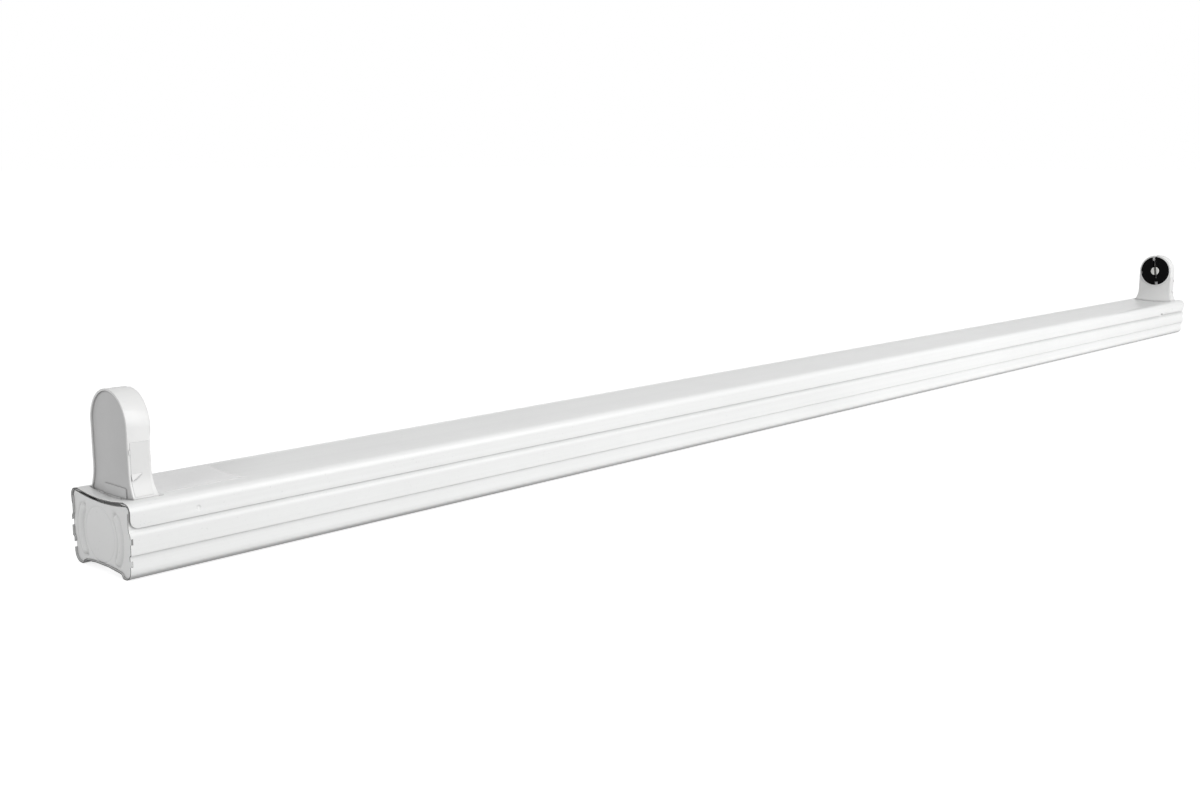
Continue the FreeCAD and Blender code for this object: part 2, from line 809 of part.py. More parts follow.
def holder_turn(side):
    """The holders are alike: the left one is the right one turned half round."""
    return Rotation() if side == RIGHT else HALF_TURN


def arch(half, bottom, closed_flare=None):
    """An arch of half width from its bottom up and over, with a flared foot if one is given."""
    left, right = (-half, lamp_axis), (half, lamp_axis)
    crown = (0, lamp_axis + half)
    over = [(left,), (crown, half, -1), (right, half, -1)]
    if closed_flare is None:
        return (-half, bottom), over + [((half, bottom),)]
    flare_half, flare_low = closed_flare
    flare_top = S.rim_height + S.flare_height
    run = flare_half - half
    rise = S.flare_height
    radius = (run * run + rise * rise) / (2 * run)
    steps = [((-flare_half, flare_low),), ((-half, flare_top), radius, 1)] + over
    steps += [((half, flare_top),), ((flare_half, flare_low), radius, 1), ((flare_half, bottom),)]
    return (-flare_half, bottom), steps


def make_holder_body(side, word):
    """A lampholder's moulded housing: arched shell, bearing for the rotor, and a stem under the lips."""
    body = new_body(f"lampholder_body_{word}", side * S.lamp_gap / 2, 0, 0, holder_turn(side))
    neck_half = lip_half - S.neck_gap
    wing_half = S.wing_width / 2
    stem_half = S.stem_width / 2
    wing_top = lip_top - S.gauge - S.wing_gap
    wing_low = wing_top - S.wing_height
    start, steps = arch(holder_half, lip_top, (base_half, S.rim_height))
    below = [((neck_half, lip_top),), ((neck_half, wing_top),), ((wing_half, wing_top),), ((wing_half, wing_low),),
             ((stem_half, wing_low),), ((stem_half, S.stem_bottom),), ((-stem_half, S.stem_bottom),),
             ((-stem_half, wing_low),), ((-wing_half, wing_low),), ((-wing_half, wing_top),),
             ((-neck_half, wing_top),), ((-neck_half, lip_top),)]
    inner = holder_face - S.flare_depth
    shape = body_sketch(body, f"holder_outline_{word}", "YZ_Plane", inner)
    draw(shape, start, steps + below)
    pad(body, f"holder_pad_{word}", shape, holder_back - inner)
    carve_flare(body, word, inner)
    carve_chamber(body, word)
    carve_bearing(body, word)
    return body


def carve_flare(body, word, inner):
    """Draws the lamp side in above the flared base."""
    flare = body_sketch(body, f"flare_outline_{word}", "XZ_Plane")
    flare_top = S.rim_height + S.flare_height
    top = lamp_axis + holder_half + S.overrun
    radius = (S.flare_depth * S.flare_depth + S.flare_height * S.flare_height) / (2 * S.flare_depth)
    draw(flare, (inner - S.overrun, S.rim_height),
         [((inner, S.rim_height),), ((holder_face, flare_top), radius, 1), ((holder_face, top),),
          ((inner - S.overrun, top),)])
    pocket(body, f"flare_cut_{word}", flare, 2 * (base_half + S.overrun), both_ways=True)


def carve_chamber(body, word):
    """Hollows the housing from its outer side and rebates it for the back panel."""
    back = holder_back + S.overrun
    chamber = body_sketch(body, f"chamber_outline_{word}", "YZ_Plane", back)
    draw(chamber, *arch(holder_half - S.holder_wall, S.rim_height + S.chamber_floor))
    depth = back - holder_face - S.face_wall
    pocket(body, f"chamber_cut_{word}", chamber, depth, forward=False)
    rebate = body_sketch(body, f"rebate_outline_{word}", "YZ_Plane", back)
    draw(rebate, *arch(panel_half, lip_top, (base_half - S.holder_rim, S.rim_height)))
    pocket(body, f"rebate_cut_{word}", rebate, back - panel_front, forward=False)
    slot_half = (S.spring_gauge / 2) + S.spring_slot_gap
    slots = body_sketch(body, f"spring_slots_{word}", "YZ_Plane", back)
    slot_bottom = S.spring_bottom - S.spring_slot_gap
    slot_top = S.rim_height + S.chamber_floor + S.overrun
    for across in (LEFT, RIGHT):
        low = across * S.spring_offset - slot_half
        high = across * S.spring_offset + slot_half
        draw(slots, (low, slot_bottom), [((high, slot_bottom),), ((high, slot_top),), ((low, slot_top),)])
    pocket(body, f"spring_slot_cut_{word}", slots, back - S.spring_start + S.spring_slot_gap, forward=False)


def carve_bearing(body, word):
    """The collar, the seat and bearing of the rotor, the pins' way in and the wires' holes."""
    collar = body_sketch(body, f"collar_outline_{word}", "YZ_Plane")
    draw_circle(collar, (0, lamp_axis), seat_radius + S.collar_width)
    pad(body, f"collar_pad_{word}", collar, holder_face + S.seat_gap)
    tube = body_sketch(body, f"bearing_outline_{word}", "YZ_Plane", holder_face + S.face_wall / 2)
    draw_circle(tube, (0, lamp_axis), bore_radius + S.bearing_wall)
    pad(body, f"bearing_pad_{word}", tube, S.face_wall / 2 + S.bearing_length)
    seat = body_sketch(body, f"seat_outline_{word}", "YZ_Plane", -S.overrun)
    draw_circle(seat, (0, lamp_axis), seat_radius)
    pocket(body, f"seat_cut_{word}", seat, S.overrun + S.flange_thickness + S.seat_gap)
    bore = body_sketch(body, f"bore_outline_{word}", "YZ_Plane", -S.overrun)
    draw_circle(bore, (0, lamp_axis), bore_radius)
    pocket(body, f"bore_cut_{word}", bore, S.overrun + holder_face + S.face_wall + S.bearing_length + S.overrun)
    entry = body_sketch(body, f"entry_outline_{word}", "YZ_Plane", -S.overrun)
    half = S.entry_width / 2
    low = lamp_axis + S.hub_radius - S.overrun
    top = lamp_axis + holder_half + S.overrun
    draw(entry, (-half, low), [((half, low),), ((half, top),), ((-half, top),)])
    pocket(body, f"entry_cut_{word}", entry, S.overrun + S.entry_depth)
    holes = body_sketch(body, f"wire_holes_{word}", "YZ_Plane", holder_face - S.flare_depth - S.overrun)
    for across in (LEFT, RIGHT):
        draw_circle(holes, (across * S.spring_offset, S.wire_hole_height), S.wire_radius + S.wire_hole_gap)
    pocket(body, f"wire_hole_cut_{word}", holes, S.overrun + S.flare_depth + S.spring_start - holder_face)


def make_back_panel(side, word):
    """The moulded plate that closes a lampholder's outer side, with its latch tab."""
    body = new_body(f"lampholder_back_{word}", side * S.lamp_gap / 2, 0, 0, holder_turn(side))
    half = panel_half - S.panel_gap
    bottom = lip_top + S.panel_gap
    outline = body_sketch(body, f"panel_outline_{word}", "YZ_Plane", panel_front)
    draw(outline, *arch(half, bottom, (base_half - S.holder_rim - S.panel_gap, S.rim_height)))
    pad(body, f"panel_pad_{word}", outline, S.panel_gauge)
    tab = body_sketch(body, f"latch_outline_{word}", "YZ_Plane", panel_back - S.panel_gauge / 2)
    left = S.latch_offset - S.latch_width / 2
    right = S.latch_offset + S.latch_width / 2
    low = S.rim_height + S.latch_lift - S.dish_depth
    high = low + S.latch_height
    corner = S.latch_height / 4
    draw(tab, (left, low),
         [((right, low),), ((right, high - corner),), ((right - corner, high), corner, 1),
          ((left + corner, high),), ((left, high - corner), corner, 1)])
    pad(body, f"latch_pad_{word}", tab, S.panel_gauge / 2 + S.latch_raise)
    return body


def rotor_placement(body, side):
    """Stands a rotor piece on the tube's axis, turned by its rest angle."""
    tilt = Rotation(Vector(1, 0, 0), -S.rotor_rest_angle.value)
    move(body, side * S.lamp_gap / 2, 0, lamp_axis, holder_turn(side).multiply(tilt))


def slot_outline(sketch, width, low, high):
    half = width / 2
    draw(sketch, (-half, low), [((half, low),), ((half, high),), ((-half, high),)])


def make_rotor(side, word):
    """The turning disc that grips the tube's pins: a flange in the housing's seat and a hub in its bearing."""
    body = new_body(f"rotor_{word}")
    rotor_placement(body, side)
    flange = body_sketch(body, f"rotor_flange_{word}", "YZ_Plane")
    draw_circle(flange, (0, 0), S.rotor_radius)
    pad(body, f"rotor_flange_pad_{word}", flange, S.flange_thickness)
    hub = body_sketch(body, f"rotor_hub_{word}", "YZ_Plane", S.flange_thickness / 2)
    draw_circle(hub, (0, 0), S.hub_radius)
    pad(body, f"rotor_hub_pad_{word}", hub, hub_end - S.flange_thickness / 2)
    depth = hub_end + 2 * S.overrun
    centre = body_sketch(body, f"rotor_centre_{word}", "YZ_Plane", -S.overrun)
    draw_circle(centre, (0, 0), S.boss_radius + S.boss_gap)
    pocket(body, f"rotor_centre_cut_{word}", centre, depth)
    reach = S.rotor_radius + S.overrun
    slot = body_sketch(body, f"rotor_slot_{word}", "YZ_Plane", -S.overrun)
    slot_outline(slot, S.pin_slot_width, -S.pin_slot_reach, reach)
    pocket(body, f"rotor_slot_cut_{word}", slot, depth)
    notches = body_sketch(body, f"rotor_notches_{word}", "YZ_Plane", -S.overrun)
    slot_outline(notches, S.notch_width, S.rotor_radius - S.notch_depth, reach)
    slot_outline(notches, S.notch_width, -reach, -(S.rotor_radius - S.notch_depth))
    pocket(body, f"rotor_notch_cut_{word}", notches, S.overrun + S.flange_thickness)
    steps = body_sketch(body, f"rotor_steps_{word}", "YZ_Plane", -S.overrun)
    half = S.step_width / 2
    near = S.rotor_radius - S.step_depth
    for across in (LEFT, RIGHT):
        draw(steps, (across * near, -half),
             [((across * reach, -half),), ((across * reach, half),), ((across * near, half),)])
    pocket(body, f"rotor_step_cut_{word}", steps, S.overrun + S.flange_thickness)
    return body


def make_rotor_core(side, word):
    """The pale boss in a rotor's middle, with the plate behind that keeps the rotor in its bearing."""
    body = new_body(f"rotor_core_{word}")
    rotor_placement(body, side)
    keeper = body_sketch(body, f"keeper_outline_{word}", "YZ_Plane", hub_end)
    draw_circle(keeper, (0, 0), S.keeper_radius)
    pad(body, f"keeper_pad_{word}", keeper, S.keeper_thickness)
    boss = body_sketch(body, f"boss_outline_{word}", "YZ_Plane", -S.boss_raise)
    draw_circle(boss, (0, 0), S.boss_radius)
    pad(body, f"boss_pad_{word}", boss, S.boss_raise + hub_end + S.keeper_thickness / 2)
    slot = body_sketch(body, f"core_slot_{word}", "YZ_Plane", -S.boss_raise - S.overrun)
    slot_outline(slot, S.pin_slot_width, -S.pin_slot_reach, S.keeper_radius + S.overrun)
    pocket(body, f"core_slot_cut_{word}", slot, S.boss_raise + hub_end + S.keeper_thickness + 2 * S.overrun)
    return body


def make_contact_springs(side, word):
    """The two sprung brass strips of a lampholder, from the pins down to the wire terminals."""
    strips = []
    for across, edge in ((LEFT, "a"), (RIGHT, "b")):
        face = S.spring_offset - S.spring_gauge / 2
        bend = lamp_axis + S.spring_rise
        run, rise = S.spring_tip_run, S.spring_tip_rise
        radius = (run * run + rise * rise) / (2 * run)
        start = (across * face, S.spring_bottom)
        steps = [((across * face, bend),), ((across * (face + run), bend + rise), radius, -across)]
        path = section(f"spring_path_{edge}_{word}", start, steps, closed=False)
        strip = strip_face(f"spring_face_{edge}_{word}", path, across * S.spring_gauge)
        length = panel_front - S.spring_start
        inner = S.lamp_gap / 2 + S.spring_start
        begin = inner if side == RIGHT else -(inner + length)
        strips.append(carry_along_x(f"spring_{edge}_{word}", strip, begin, length))
    return group(f"contact_springs_{word}", strips)


def make_terminal_block():
    """A three-pole screw terminal block in natural nylon."""
    half = 1.5 * S.pole_pitch
    low_y = S.block_offset - S.block_depth / 2
    blank = box("block_blank", (-half, low_y, floor_edge_top),
                (2 * half, S.block_depth, S.block_height + S.floor_arch))
    tools = []
    for pole in (-1, 0, 1):
        x = pole * S.pole_pitch
        tools.append(cylinder(f"block_bore_{pole + 1}", (x, low_y - S.overrun, pole_height),
                              S.clamp_radius + S.clamp_gap, S.block_depth + 2 * S.overrun, ALONG_Y))
        for across in (LEFT, RIGHT):
            y = S.block_offset + across * S.terminal_screw_spread
            tools.append(cylinder(f"block_well_{pole + 1}_{across + 1}", (x, y, pole_height),
                                  S.terminal_screw_head + S.screw_gap, S.block_height))
    for gap in (-1, 1):
        for across in (LEFT, RIGHT):
            middle = gap * S.pole_pitch / 2
            edge = S.block_offset + across * S.block_depth / 2
            tools.append(box(f"block_groove_{gap + 1}_{across + 1}",
                             (middle - S.block_rib / 2, edge - S.block_rib, floor_top + S.block_rib),
                             (S.block_rib, 2 * S.block_rib, S.block_height)))
    head = S.block_screw_head + S.screw_gap
    screw_x = S.pole_pitch / 2
    tools.append(cylinder("block_screw_hole", (screw_x, S.block_offset, floor_edge_top - S.overrun),
                          S.block_screw_radius + S.screw_gap, S.block_height + 2 * S.overrun))
    tools.append(cylinder("block_screw_well", (screw_x, S.block_offset, floor_top + S.block_height / 2),
                          head, S.block_height))
    return on_floor("terminal_block", cut("block_bored", blank, tools))


def make_terminal_clamps():
    """The brass sleeves that the wires go into, one in each pole."""
    clamps = []
    length = S.block_depth - 2 * S.clamp_inset
    start = S.block_offset - length / 2
    for pole in (-1, 0, 1):
        x = pole * S.pole_pitch
        outer = cylinder(f"clamp_outer_{pole + 1}", (x, start, pole_height), S.clamp_radius, length, ALONG_Y)
        tools = [cylinder(f"clamp_bore_{pole + 1}", (x, start - S.overrun, pole_height), S.clamp_bore,
                          length + 2 * S.overrun, ALONG_Y)]
        for across in (LEFT, RIGHT):
            y = S.block_offset + across * S.terminal_screw_spread
            tools.append(cylinder(f"clamp_thread_{pole + 1}_{across + 1}", (x, y, pole_height),
                                  S.terminal_screw_radius + S.boss_gap, S.clamp_radius + S.overrun))
        clamps.append(cut(f"clamp_{pole + 1}", outer, tools))
    return group("terminal_clamps", clamps)


def slotted_screw(name, place, shank_radius, shank_length, head_radius, head_height):
    """A screw standing on its head's under side at the given place, with its shank down and a driver slot."""
    x, y, z = place
    shank = cylinder(f"{name}_shank", (x, y, z - shank_length), shank_radius, shank_length)
    head = cylinder(f"{name}_head", (x, y, z), head_radius, head_height)
    slot = box(f"{name}_slot", (x - head_radius - S.overrun, y - S.driver_slot_width / 2,
                                z + head_height - S.driver_slot_depth),
               (2 * (head_radius + S.overrun), S.driver_slot_width, S.driver_slot_depth + S.overrun))
    return cut(name, fuse(f"{name}_blank", [shank, head]), [slot])


def make_terminal_screws():
    screws = []
    seat = pole_height + S.clamp_radius + S.screw_gap
    for pole in (-1, 0, 1):
        for across in (LEFT, RIGHT):
            place = (pole * S.pole_pitch, S.block_offset + across * S.terminal_screw_spread, seat)
            screws.append(slotted_screw(f"terminal_screw_{pole + 1}_{across + 1}", place, S.terminal_screw_radius,
                                        S.terminal_screw_drop, S.terminal_screw_head,
                                        S.terminal_screw_head_height))
    return group("terminal_screws", screws)


def make_block_screw():
    """The screw that holds the terminal block on the tray's floor."""
    seat = floor_top + S.block_height / 2
    length = seat - floor_under + S.block_screw_tail
    return slotted_screw("terminal_block_screw", (S.pole_pitch / 2, S.block_offset, seat), S.block_screw_radius,
                         length, S.block_screw_head, S.block_screw_head_height)


def make_earth_lug():
    """The crimped ring lug on the end of the earth wire, flat on the tray's floor."""
    ring = cylinder("lug_ring", (-S.lug_place, -S.lug_offset, floor_top), S.lug_radius, S.lug_gauge)
    barrel_start = S.lug_radius + S.lug_barrel_radius - S.lug_place
    barrel_height = floor_top + S.lug_barrel_radius
    tongue = box("lug_tongue", (-S.lug_place, -S.lug_offset - S.lug_barrel_radius, floor_top),
                 (S.lug_radius + 2 * S.lug_barrel_radius, 2 * S.lug_barrel_radius, S.lug_gauge))
    barrel = cylinder("lug_barrel", (barrel_start, -S.lug_offset, barrel_height), S.lug_barrel_radius,
                      S.lug_barrel_length, ALONG_X)
    hole = cylinder("lug_hole", (-S.lug_place, -S.lug_offset, floor_top - S.overrun),
                    S.earth_screw_radius + S.boss_gap, S.lug_gauge + 2 * S.overrun)
    bore = cylinder("lug_bore", (barrel_start - S.overrun, -S.lug_offset, barrel_height),
                    S.wire_radius + S.lug_barrel_gap, S.lug_barrel_length + 2 * S.overrun, ALONG_X)
    return cut("earth_lug", fuse("lug_blank", [ring, tongue, barrel]), [hole, bore])


def make_earth_washer():
    low = floor_top + S.lug_gauge
    disc = cylinder("washer_disc", (-S.lug_place, -S.lug_offset, low), S.washer_radius, S.washer_gauge)
    hole = cylinder("washer_hole", (-S.lug_place, -S.lug_offset, low - S.overrun),
                    S.earth_screw_radius + S.boss_gap, S.washer_gauge + 2 * S.overrun)
    return cut("earth_washer", disc, [hole])


def make_earth_screw():
    seat = floor_top + S.lug_gauge + S.washer_gauge
    length = seat - floor_under + S.block_screw_tail
    return slotted_screw("earth_screw", (-S.lug_place, -S.lug_offset, seat), S.earth_screw_radius, length,
                         S.earth_screw_head, S.earth_screw_head_height)


def make_grommet():
    """The rubber grommet that lines the cable entry, its flanges bent to the arched floor."""
    low = floor_under - S.grommet_bottom
    height = S.grommet_bottom + S.gauge + S.grommet_top
    neck = cylinder("grommet_neck_blank", (S.entry_place, 0, low), S.grommet_neck, height)
    upper = cylinder("grommet_upper_blank", (S.entry_place, 0, floor_edge_top), S.grommet_flange,
                     S.floor_arch + S.grommet_top)
    upper = cut("grommet_upper", upper, [under_arch("grommet_upper_floor", floor_radius + S.gauge)])
    lower = document.addObject("Part::Common", "grommet_lower")
    lower.Base = cylinder("grommet_lower_blank", (S.entry_place, 0, low), S.grommet_flange, S.grommet_bottom)
    lower.Tool = under_arch("grommet_lower_floor", floor_radius - S.grommet_gap)
    way = cylinder("grommet_way", (S.entry_place, 0, low - S.overrun), S.grommet_bore, height + 2 * S.overrun)
    return cut("cable_grommet", fuse("grommet_blank", [neck, upper, lower]), [way])


def make_wire_clips():
    """Small moulded saddles that hold the wires down on the tray's floor."""
    clips = []
    for side, word in SIDES:
        for place, level in ((S.clip_near, "near"), (S.clip_far, "far")):
            start = side * place - S.clip_length / 2
            saddle = box(f"saddle_{level}_{word}", (start, -S.run_offset - S.clip_width / 2, floor_edge_top),
                         (S.clip_length, S.clip_width, S.clip_height))
            way = cylinder(f"saddle_way_{level}_{word}", (start - S.overrun, -S.run_offset, wire_run_height),
                           S.wire_radius + S.clip_gap, S.clip_length + 2 * S.overrun, ALONG_X)
            bored = cut(f"bored_{level}_{word}", saddle, [way])
            clips.append(on_floor(f"clip_{level}_{word}", bored))
    return group("wire_clips", clips)


def wire_along(label, points, radii):
    """A round wire along straight runs joined by tangent arcs; one radius for each inner point."""
    spots = [Vector(*(as_size(value).value for value in point)) for point in points]
    edges = []
    here = spots[0]
    length = 0
    for number, radius in enumerate(radii, start=1):
        corner = spots[number]
        before = (corner - spots[number - 1]).normalize()
        after = (spots[number + 1] - corner).normalize()
        turn = before.getAngle(after)
        tangent = radius.value * math.tan(turn / 2)
        begin = corner - before * tangent
        end = corner + after * tangent
        bisector = (after - before).normalize()
        middle = corner + bisector * (radius.value / math.cos(turn / 2) - radius.value)
        edges.append(Part.LineSegment(here, begin).toShape())
        edges.append(Part.Arc(begin, middle, end).toShape())
        length += (begin - here).Length + radius.value * turn
        here = end
    edges.append(Part.LineSegment(here, spots[-1]).toShape())
    length += (spots[-1] - here).Length
    path = Part.Wire(edges)
    direction = (spots[1] - spots[0]).normalize()
    ring = Part.Wire(Part.makeCircle(S.wire_radius.value, spots[0], direction))
    shape = path.makePipeShell([ring], True, False)
    expected = math.pi * S.wire_radius.value ** 2 * length
    print(f"{label}: {length:.1f} mm of wire, arcs {[round(radius.value, 1) for radius in radii]} mm, "
          f"volume {shape.Volume:.1f} for {expected:.1f}")
    wire = document.addObject("Part::Feature", label)
    wire.Shape = shape
    wire.Placement = Placement()
    return wire


def pole_mouth():
    """Where a wire ends inside its pole, under the front screw."""
    return S.block_offset - S.block_depth / 2 + S.clamp_inset + S.wire_insert


def make_long_wire(label, side, pole):
    """A wire from its pole, down to the floor, through the clips and up into its lampholder."""
    x = pole * S.pole_pitch
    hole_y = -side * S.spring_offset
    drop_start = side * S.drop_place
    drop_end = side * (S.drop_place + S.drop_length)
    rise_end = side * (S.lamp_gap / 2 - S.rise_gap)
    rise_start = side * (S.lamp_gap / 2 - S.rise_gap - S.rise_length)
    points = [
        (x, pole_mouth(), pole_height),
        (x, -S.run_offset, pole_height),
        (drop_start, -S.run_offset, pole_height),
        (drop_end, -S.run_offset, wire_run_height),
        (rise_start, -S.run_offset, wire_run_height),
        (rise_end, hole_y, S.wire_hole_height),
        (side * (S.lamp_gap / 2 + S.spring_start - S.wire_end_gap), hole_y, S.wire_hole_height),
    ]
    radii = [S.turn_radius, S.slope_radius, S.slope_radius, S.slope_radius, S.rise_radius]
    return wire_along(label, points, radii)


def make_earth_wire():
    """The short wire from the left pole to the earth lug."""
    barrel_end = S.lug_radius + S.lug_barrel_radius + S.lug_barrel_length - S.lug_place
    barrel_height = floor_top + S.lug_barrel_radius
    x = -S.pole_pitch
    points = [
        (x, pole_mouth(), pole_height),
        (x, -S.earth_lane, pole_height),
        (x - S.earth_turn_radius - S.earth_level, -S.earth_lane, pole_height),
        (barrel_end + S.earth_level, -S.lug_offset, barrel_height),
        (barrel_end - S.lug_barrel_length / 2, -S.lug_offset, barrel_height),
    ]
    return wire_along("wire_earth", points, [S.earth_turn_radius, S.earth_turn_radius, S.earth_turn_radius])


def make_label():
    """A thin clear film for ratings on the dished top beside the left lampholder."""
    centre_height = S.rim_height - S.dish_depth + dish_radius
    radius = dish_radius - S.label_gap

    def over_dish(y):
        return (y, centre_height - root(radius * radius - y * y))

    start = over_dish(S.label_front_inset - fold_half)
    path = section("label_path", start, [(over_dish(fold_half - S.label_back_inset), radius, 1)], closed=False)
    face = strip_face("label_face", path, S.label_gauge)
    return carry_along_x("rating_label", face, S.label_start - half_length, S.label_length)


def build():
    """Makes every sub-part and returns them in the order of assembly."""
    parts = [make_tray()]
    for side, word in SIDES:
        parts.append(make_end_cap(side, word))
    parts.append(make_rivets())
    for side, word in SIDES:
        parts.append(make_holder_body(side, word))
        parts.append(make_back_panel(side, word))
        parts.append(make_rotor(side, word))
        parts.append(make_rotor_core(side, word))
        parts.append(make_contact_springs(side, word))
    parts.append(make_terminal_block())
    parts.append(make_terminal_clamps())
    parts.append(make_terminal_screws())
    parts.append(make_block_screw())
    parts.append(make_earth_lug())
    parts.append(make_earth_washer())
    parts.append(make_earth_screw())
    parts.append(make_grommet())
    parts.append(make_wire_clips())
    parts.append(make_long_wire("wire_live", LEFT, 0))
    parts.append(make_long_wire("wire_neutral", RIGHT, 1))
    parts.append(make_earth_wire())
    parts.append(make_cover())
    parts.append(make_label())
    return parts


def check(parts):
    """Stops if any feature failed or any sub-part has no valid solid."""
    for thing in document.Objects:
        bad = [state for state in thing.State if state in ("Invalid", "Error")]
        if bad:
            raise RuntimeError(f"{thing.Name} failed: {thing.State}")
    for part in parts:
        shape = part.Shape
        if shape.isNull() or not shape.isValid() or not shape.Solids:
            raise RuntimeError(f"{part.Label} has no valid solid")


def write(parts):
    os.makedirs("parts", exist_ok=True)
    for part in parts:
        part.Shape.exportStep(f"parts/{part.Label}.step")
        box_ = part.Shape.BoundBox
        print(f"{part.Label}: {len(part.Shape.Solids)} solid(s), {part.Shape.Volume:.1f} mm3, "
              f"x {box_.XMin:.1f} to {box_.XMax:.1f}, y {box_.YMin:.1f} to {box_.YMax:.1f}, "
              f"z {box_.ZMin:.1f} to {box_.ZMax:.1f}")


sub_parts = build()
document.recompute()
check(sub_parts)
write(sub_parts)
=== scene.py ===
import bmesh
import bpy
import math
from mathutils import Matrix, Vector, geometry, kdtree


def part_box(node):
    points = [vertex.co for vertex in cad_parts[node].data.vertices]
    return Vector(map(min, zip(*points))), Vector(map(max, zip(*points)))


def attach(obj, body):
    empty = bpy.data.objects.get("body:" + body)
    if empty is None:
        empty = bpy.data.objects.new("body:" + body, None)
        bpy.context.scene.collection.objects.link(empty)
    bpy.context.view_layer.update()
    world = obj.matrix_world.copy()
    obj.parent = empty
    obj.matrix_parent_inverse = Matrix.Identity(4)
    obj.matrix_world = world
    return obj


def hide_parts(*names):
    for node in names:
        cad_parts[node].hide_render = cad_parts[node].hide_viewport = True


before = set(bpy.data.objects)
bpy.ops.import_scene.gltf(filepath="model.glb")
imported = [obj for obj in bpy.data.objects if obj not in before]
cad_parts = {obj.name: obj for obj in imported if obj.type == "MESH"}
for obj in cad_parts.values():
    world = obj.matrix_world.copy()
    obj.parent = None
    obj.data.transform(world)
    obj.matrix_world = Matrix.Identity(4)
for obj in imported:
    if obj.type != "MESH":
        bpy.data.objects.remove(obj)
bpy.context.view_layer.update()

# Viewpoint.
# The fitting lies on its mounting side and is seen from low down beside its left end. The place
# and aim of the camera come from a fit of the fitting's own edges to the picture.
eye = Vector((-0.90925, -0.57667, 0.18321))
eye_yaw = math.radians(-47.22)
eye_pitch = math.radians(-9.78)
picture_pixels = 1200
focal_pixels = 1380.8
sensor_width = 36.0
nearest_seen = 0.01
farthest_seen = 60.0

level = math.cos(eye_pitch)
eye_aim = Vector((-math.sin(eye_yaw) * level, math.cos(eye_yaw) * level, math.sin(eye_pitch)))
camera_data = bpy.data.cameras.new("viewpoint")
camera_data.sensor_width = sensor_width
camera_data.lens = sensor_width * (focal_pixels / picture_pixels)
camera_data.clip_start = nearest_seen
camera_data.clip_end = farthest_seen
camera = bpy.data.objects.new("viewpoint", camera_data)
camera.location = eye
camera.rotation_euler = eye_aim.to_track_quat("-Z", "Y").to_euler()
scene = bpy.context.scene
scene.collection.objects.link(camera)
scene.camera = camera

# Studio.
# A sheet of white paper under the foot ribs and a white room, lit by one wide soft lamp in front and
# a little above, and a smaller one beside the left end. What the camera and the reflections see is
# white, with no more light in it.
room_light = 0.45
room_white = 1.0
paper_half = 30.0
paper_drop = 0.0002
paper_colour = (0.60, 0.60, 0.60, 1.0)
paper_lift = 0.76
# Each lamp has a name, its power, its size, the spot it points at, how far off it stands and where to.
lamps = (
    ("wide_lamp", 24.0, 1.5, Vector((0.40, 0.0, 0.03)), 1.8, Vector((-0.10, -0.90, 0.38))),
    ("end_lamp", 1.5, 0.3, Vector((-0.62, 0.0, 0.03)), 0.9, Vector((-0.80, -0.34, 0.50))),
)


def feed(tree, value, socket):
    """Gives a socket its value, which is a number or a link."""
    if isinstance(value, (int, float)):
        socket.default_value = value
    else:
        tree.links.new(value, socket)


def add_sum(tree, operation, first, second):
    """One sum of two values; each is a number or a link."""
    node = tree.nodes.new("ShaderNodeMath")
    node.operation = operation
    feed(tree, first, node.inputs[0])
    feed(tree, second, node.inputs[1])
    return node.outputs[0]


def add_range(tree, value, low, high, to_low, to_high):
    """Stretches a value from one range to another; each end is a number or a link."""
    stretch = tree.nodes.new("ShaderNodeMapRange")
    tree.links.new(value, stretch.inputs["Value"])
    feed(tree, low, stretch.inputs["From Min"])
    feed(tree, high, stretch.inputs["From Max"])
    feed(tree, to_low, stretch.inputs["To Min"])
    feed(tree, to_high, stretch.inputs["To Max"])
    return stretch.outputs["Result"]


def add_seen(tree, *more):
    """Is 1 for what the camera, the reflections and more kinds of ray see, and 0 for light on surfaces."""
    paths = tree.nodes.new("ShaderNodeLightPath")
    seen = add_sum(tree, "MAXIMUM", paths.outputs["Is Camera Ray"], paths.outputs["Is Glossy Ray"])
    for kind in more:
        seen = add_sum(tree, "MAXIMUM", seen, paths.outputs[kind])
    return seen


scene.view_settings.view_transform = "Standard"
room = bpy.data.worlds.new("white_room")
scene.world = room
room.use_nodes = True
tree = room.node_tree
tree.nodes.clear()
strength = add_range(tree, add_seen(tree, "Is Transmission Ray"), 0.0, 1.0, room_light, room_white)
glow = tree.nodes.new("ShaderNodeBackground")
glow.inputs["Color"].default_value = (1.0, 1.0, 1.0, 1.0)
tree.links.new(strength, glow.inputs["Strength"])
out = tree.nodes.new("ShaderNodeOutputWorld")
tree.links.new(glow.outputs[0], out.inputs["Surface"])

paper_corners = [(x * paper_half, y * paper_half, 0.0) for x, y in ((-1, -1), (1, -1), (1, 1), (-1, 1))]
paper_mesh = bpy.data.meshes.new("studio_paper")
paper_mesh.from_pydata(paper_corners, [], [(0, 1, 2, 3)])
paper = bpy.data.objects.new("studio_paper", paper_mesh)
paper.location.z = -paper_drop
scene.collection.objects.link(paper)
paper_finish = bpy.data.materials.new("studio_paper")
paper_finish.use_nodes = True
tree = paper_finish.node_tree
tree.nodes.clear()
matt = tree.nodes.new("ShaderNodeBsdfDiffuse")
matt.inputs["Color"].default_value = paper_colour
lift = tree.nodes.new("ShaderNodeEmission")
tree.links.new(add_sum(tree, "MULTIPLY", add_seen(tree), paper_lift), lift.inputs["Strength"])
both = tree.nodes.new("ShaderNodeAddShader")
tree.links.new(matt.outputs[0], both.inputs[0])
tree.links.new(lift.outputs[0], both.inputs[1])
out = tree.nodes.new("ShaderNodeOutputMaterial")
tree.links.new(both.outputs[0], out.inputs["Surface"])
paper_mesh.materials.append(paper_finish)

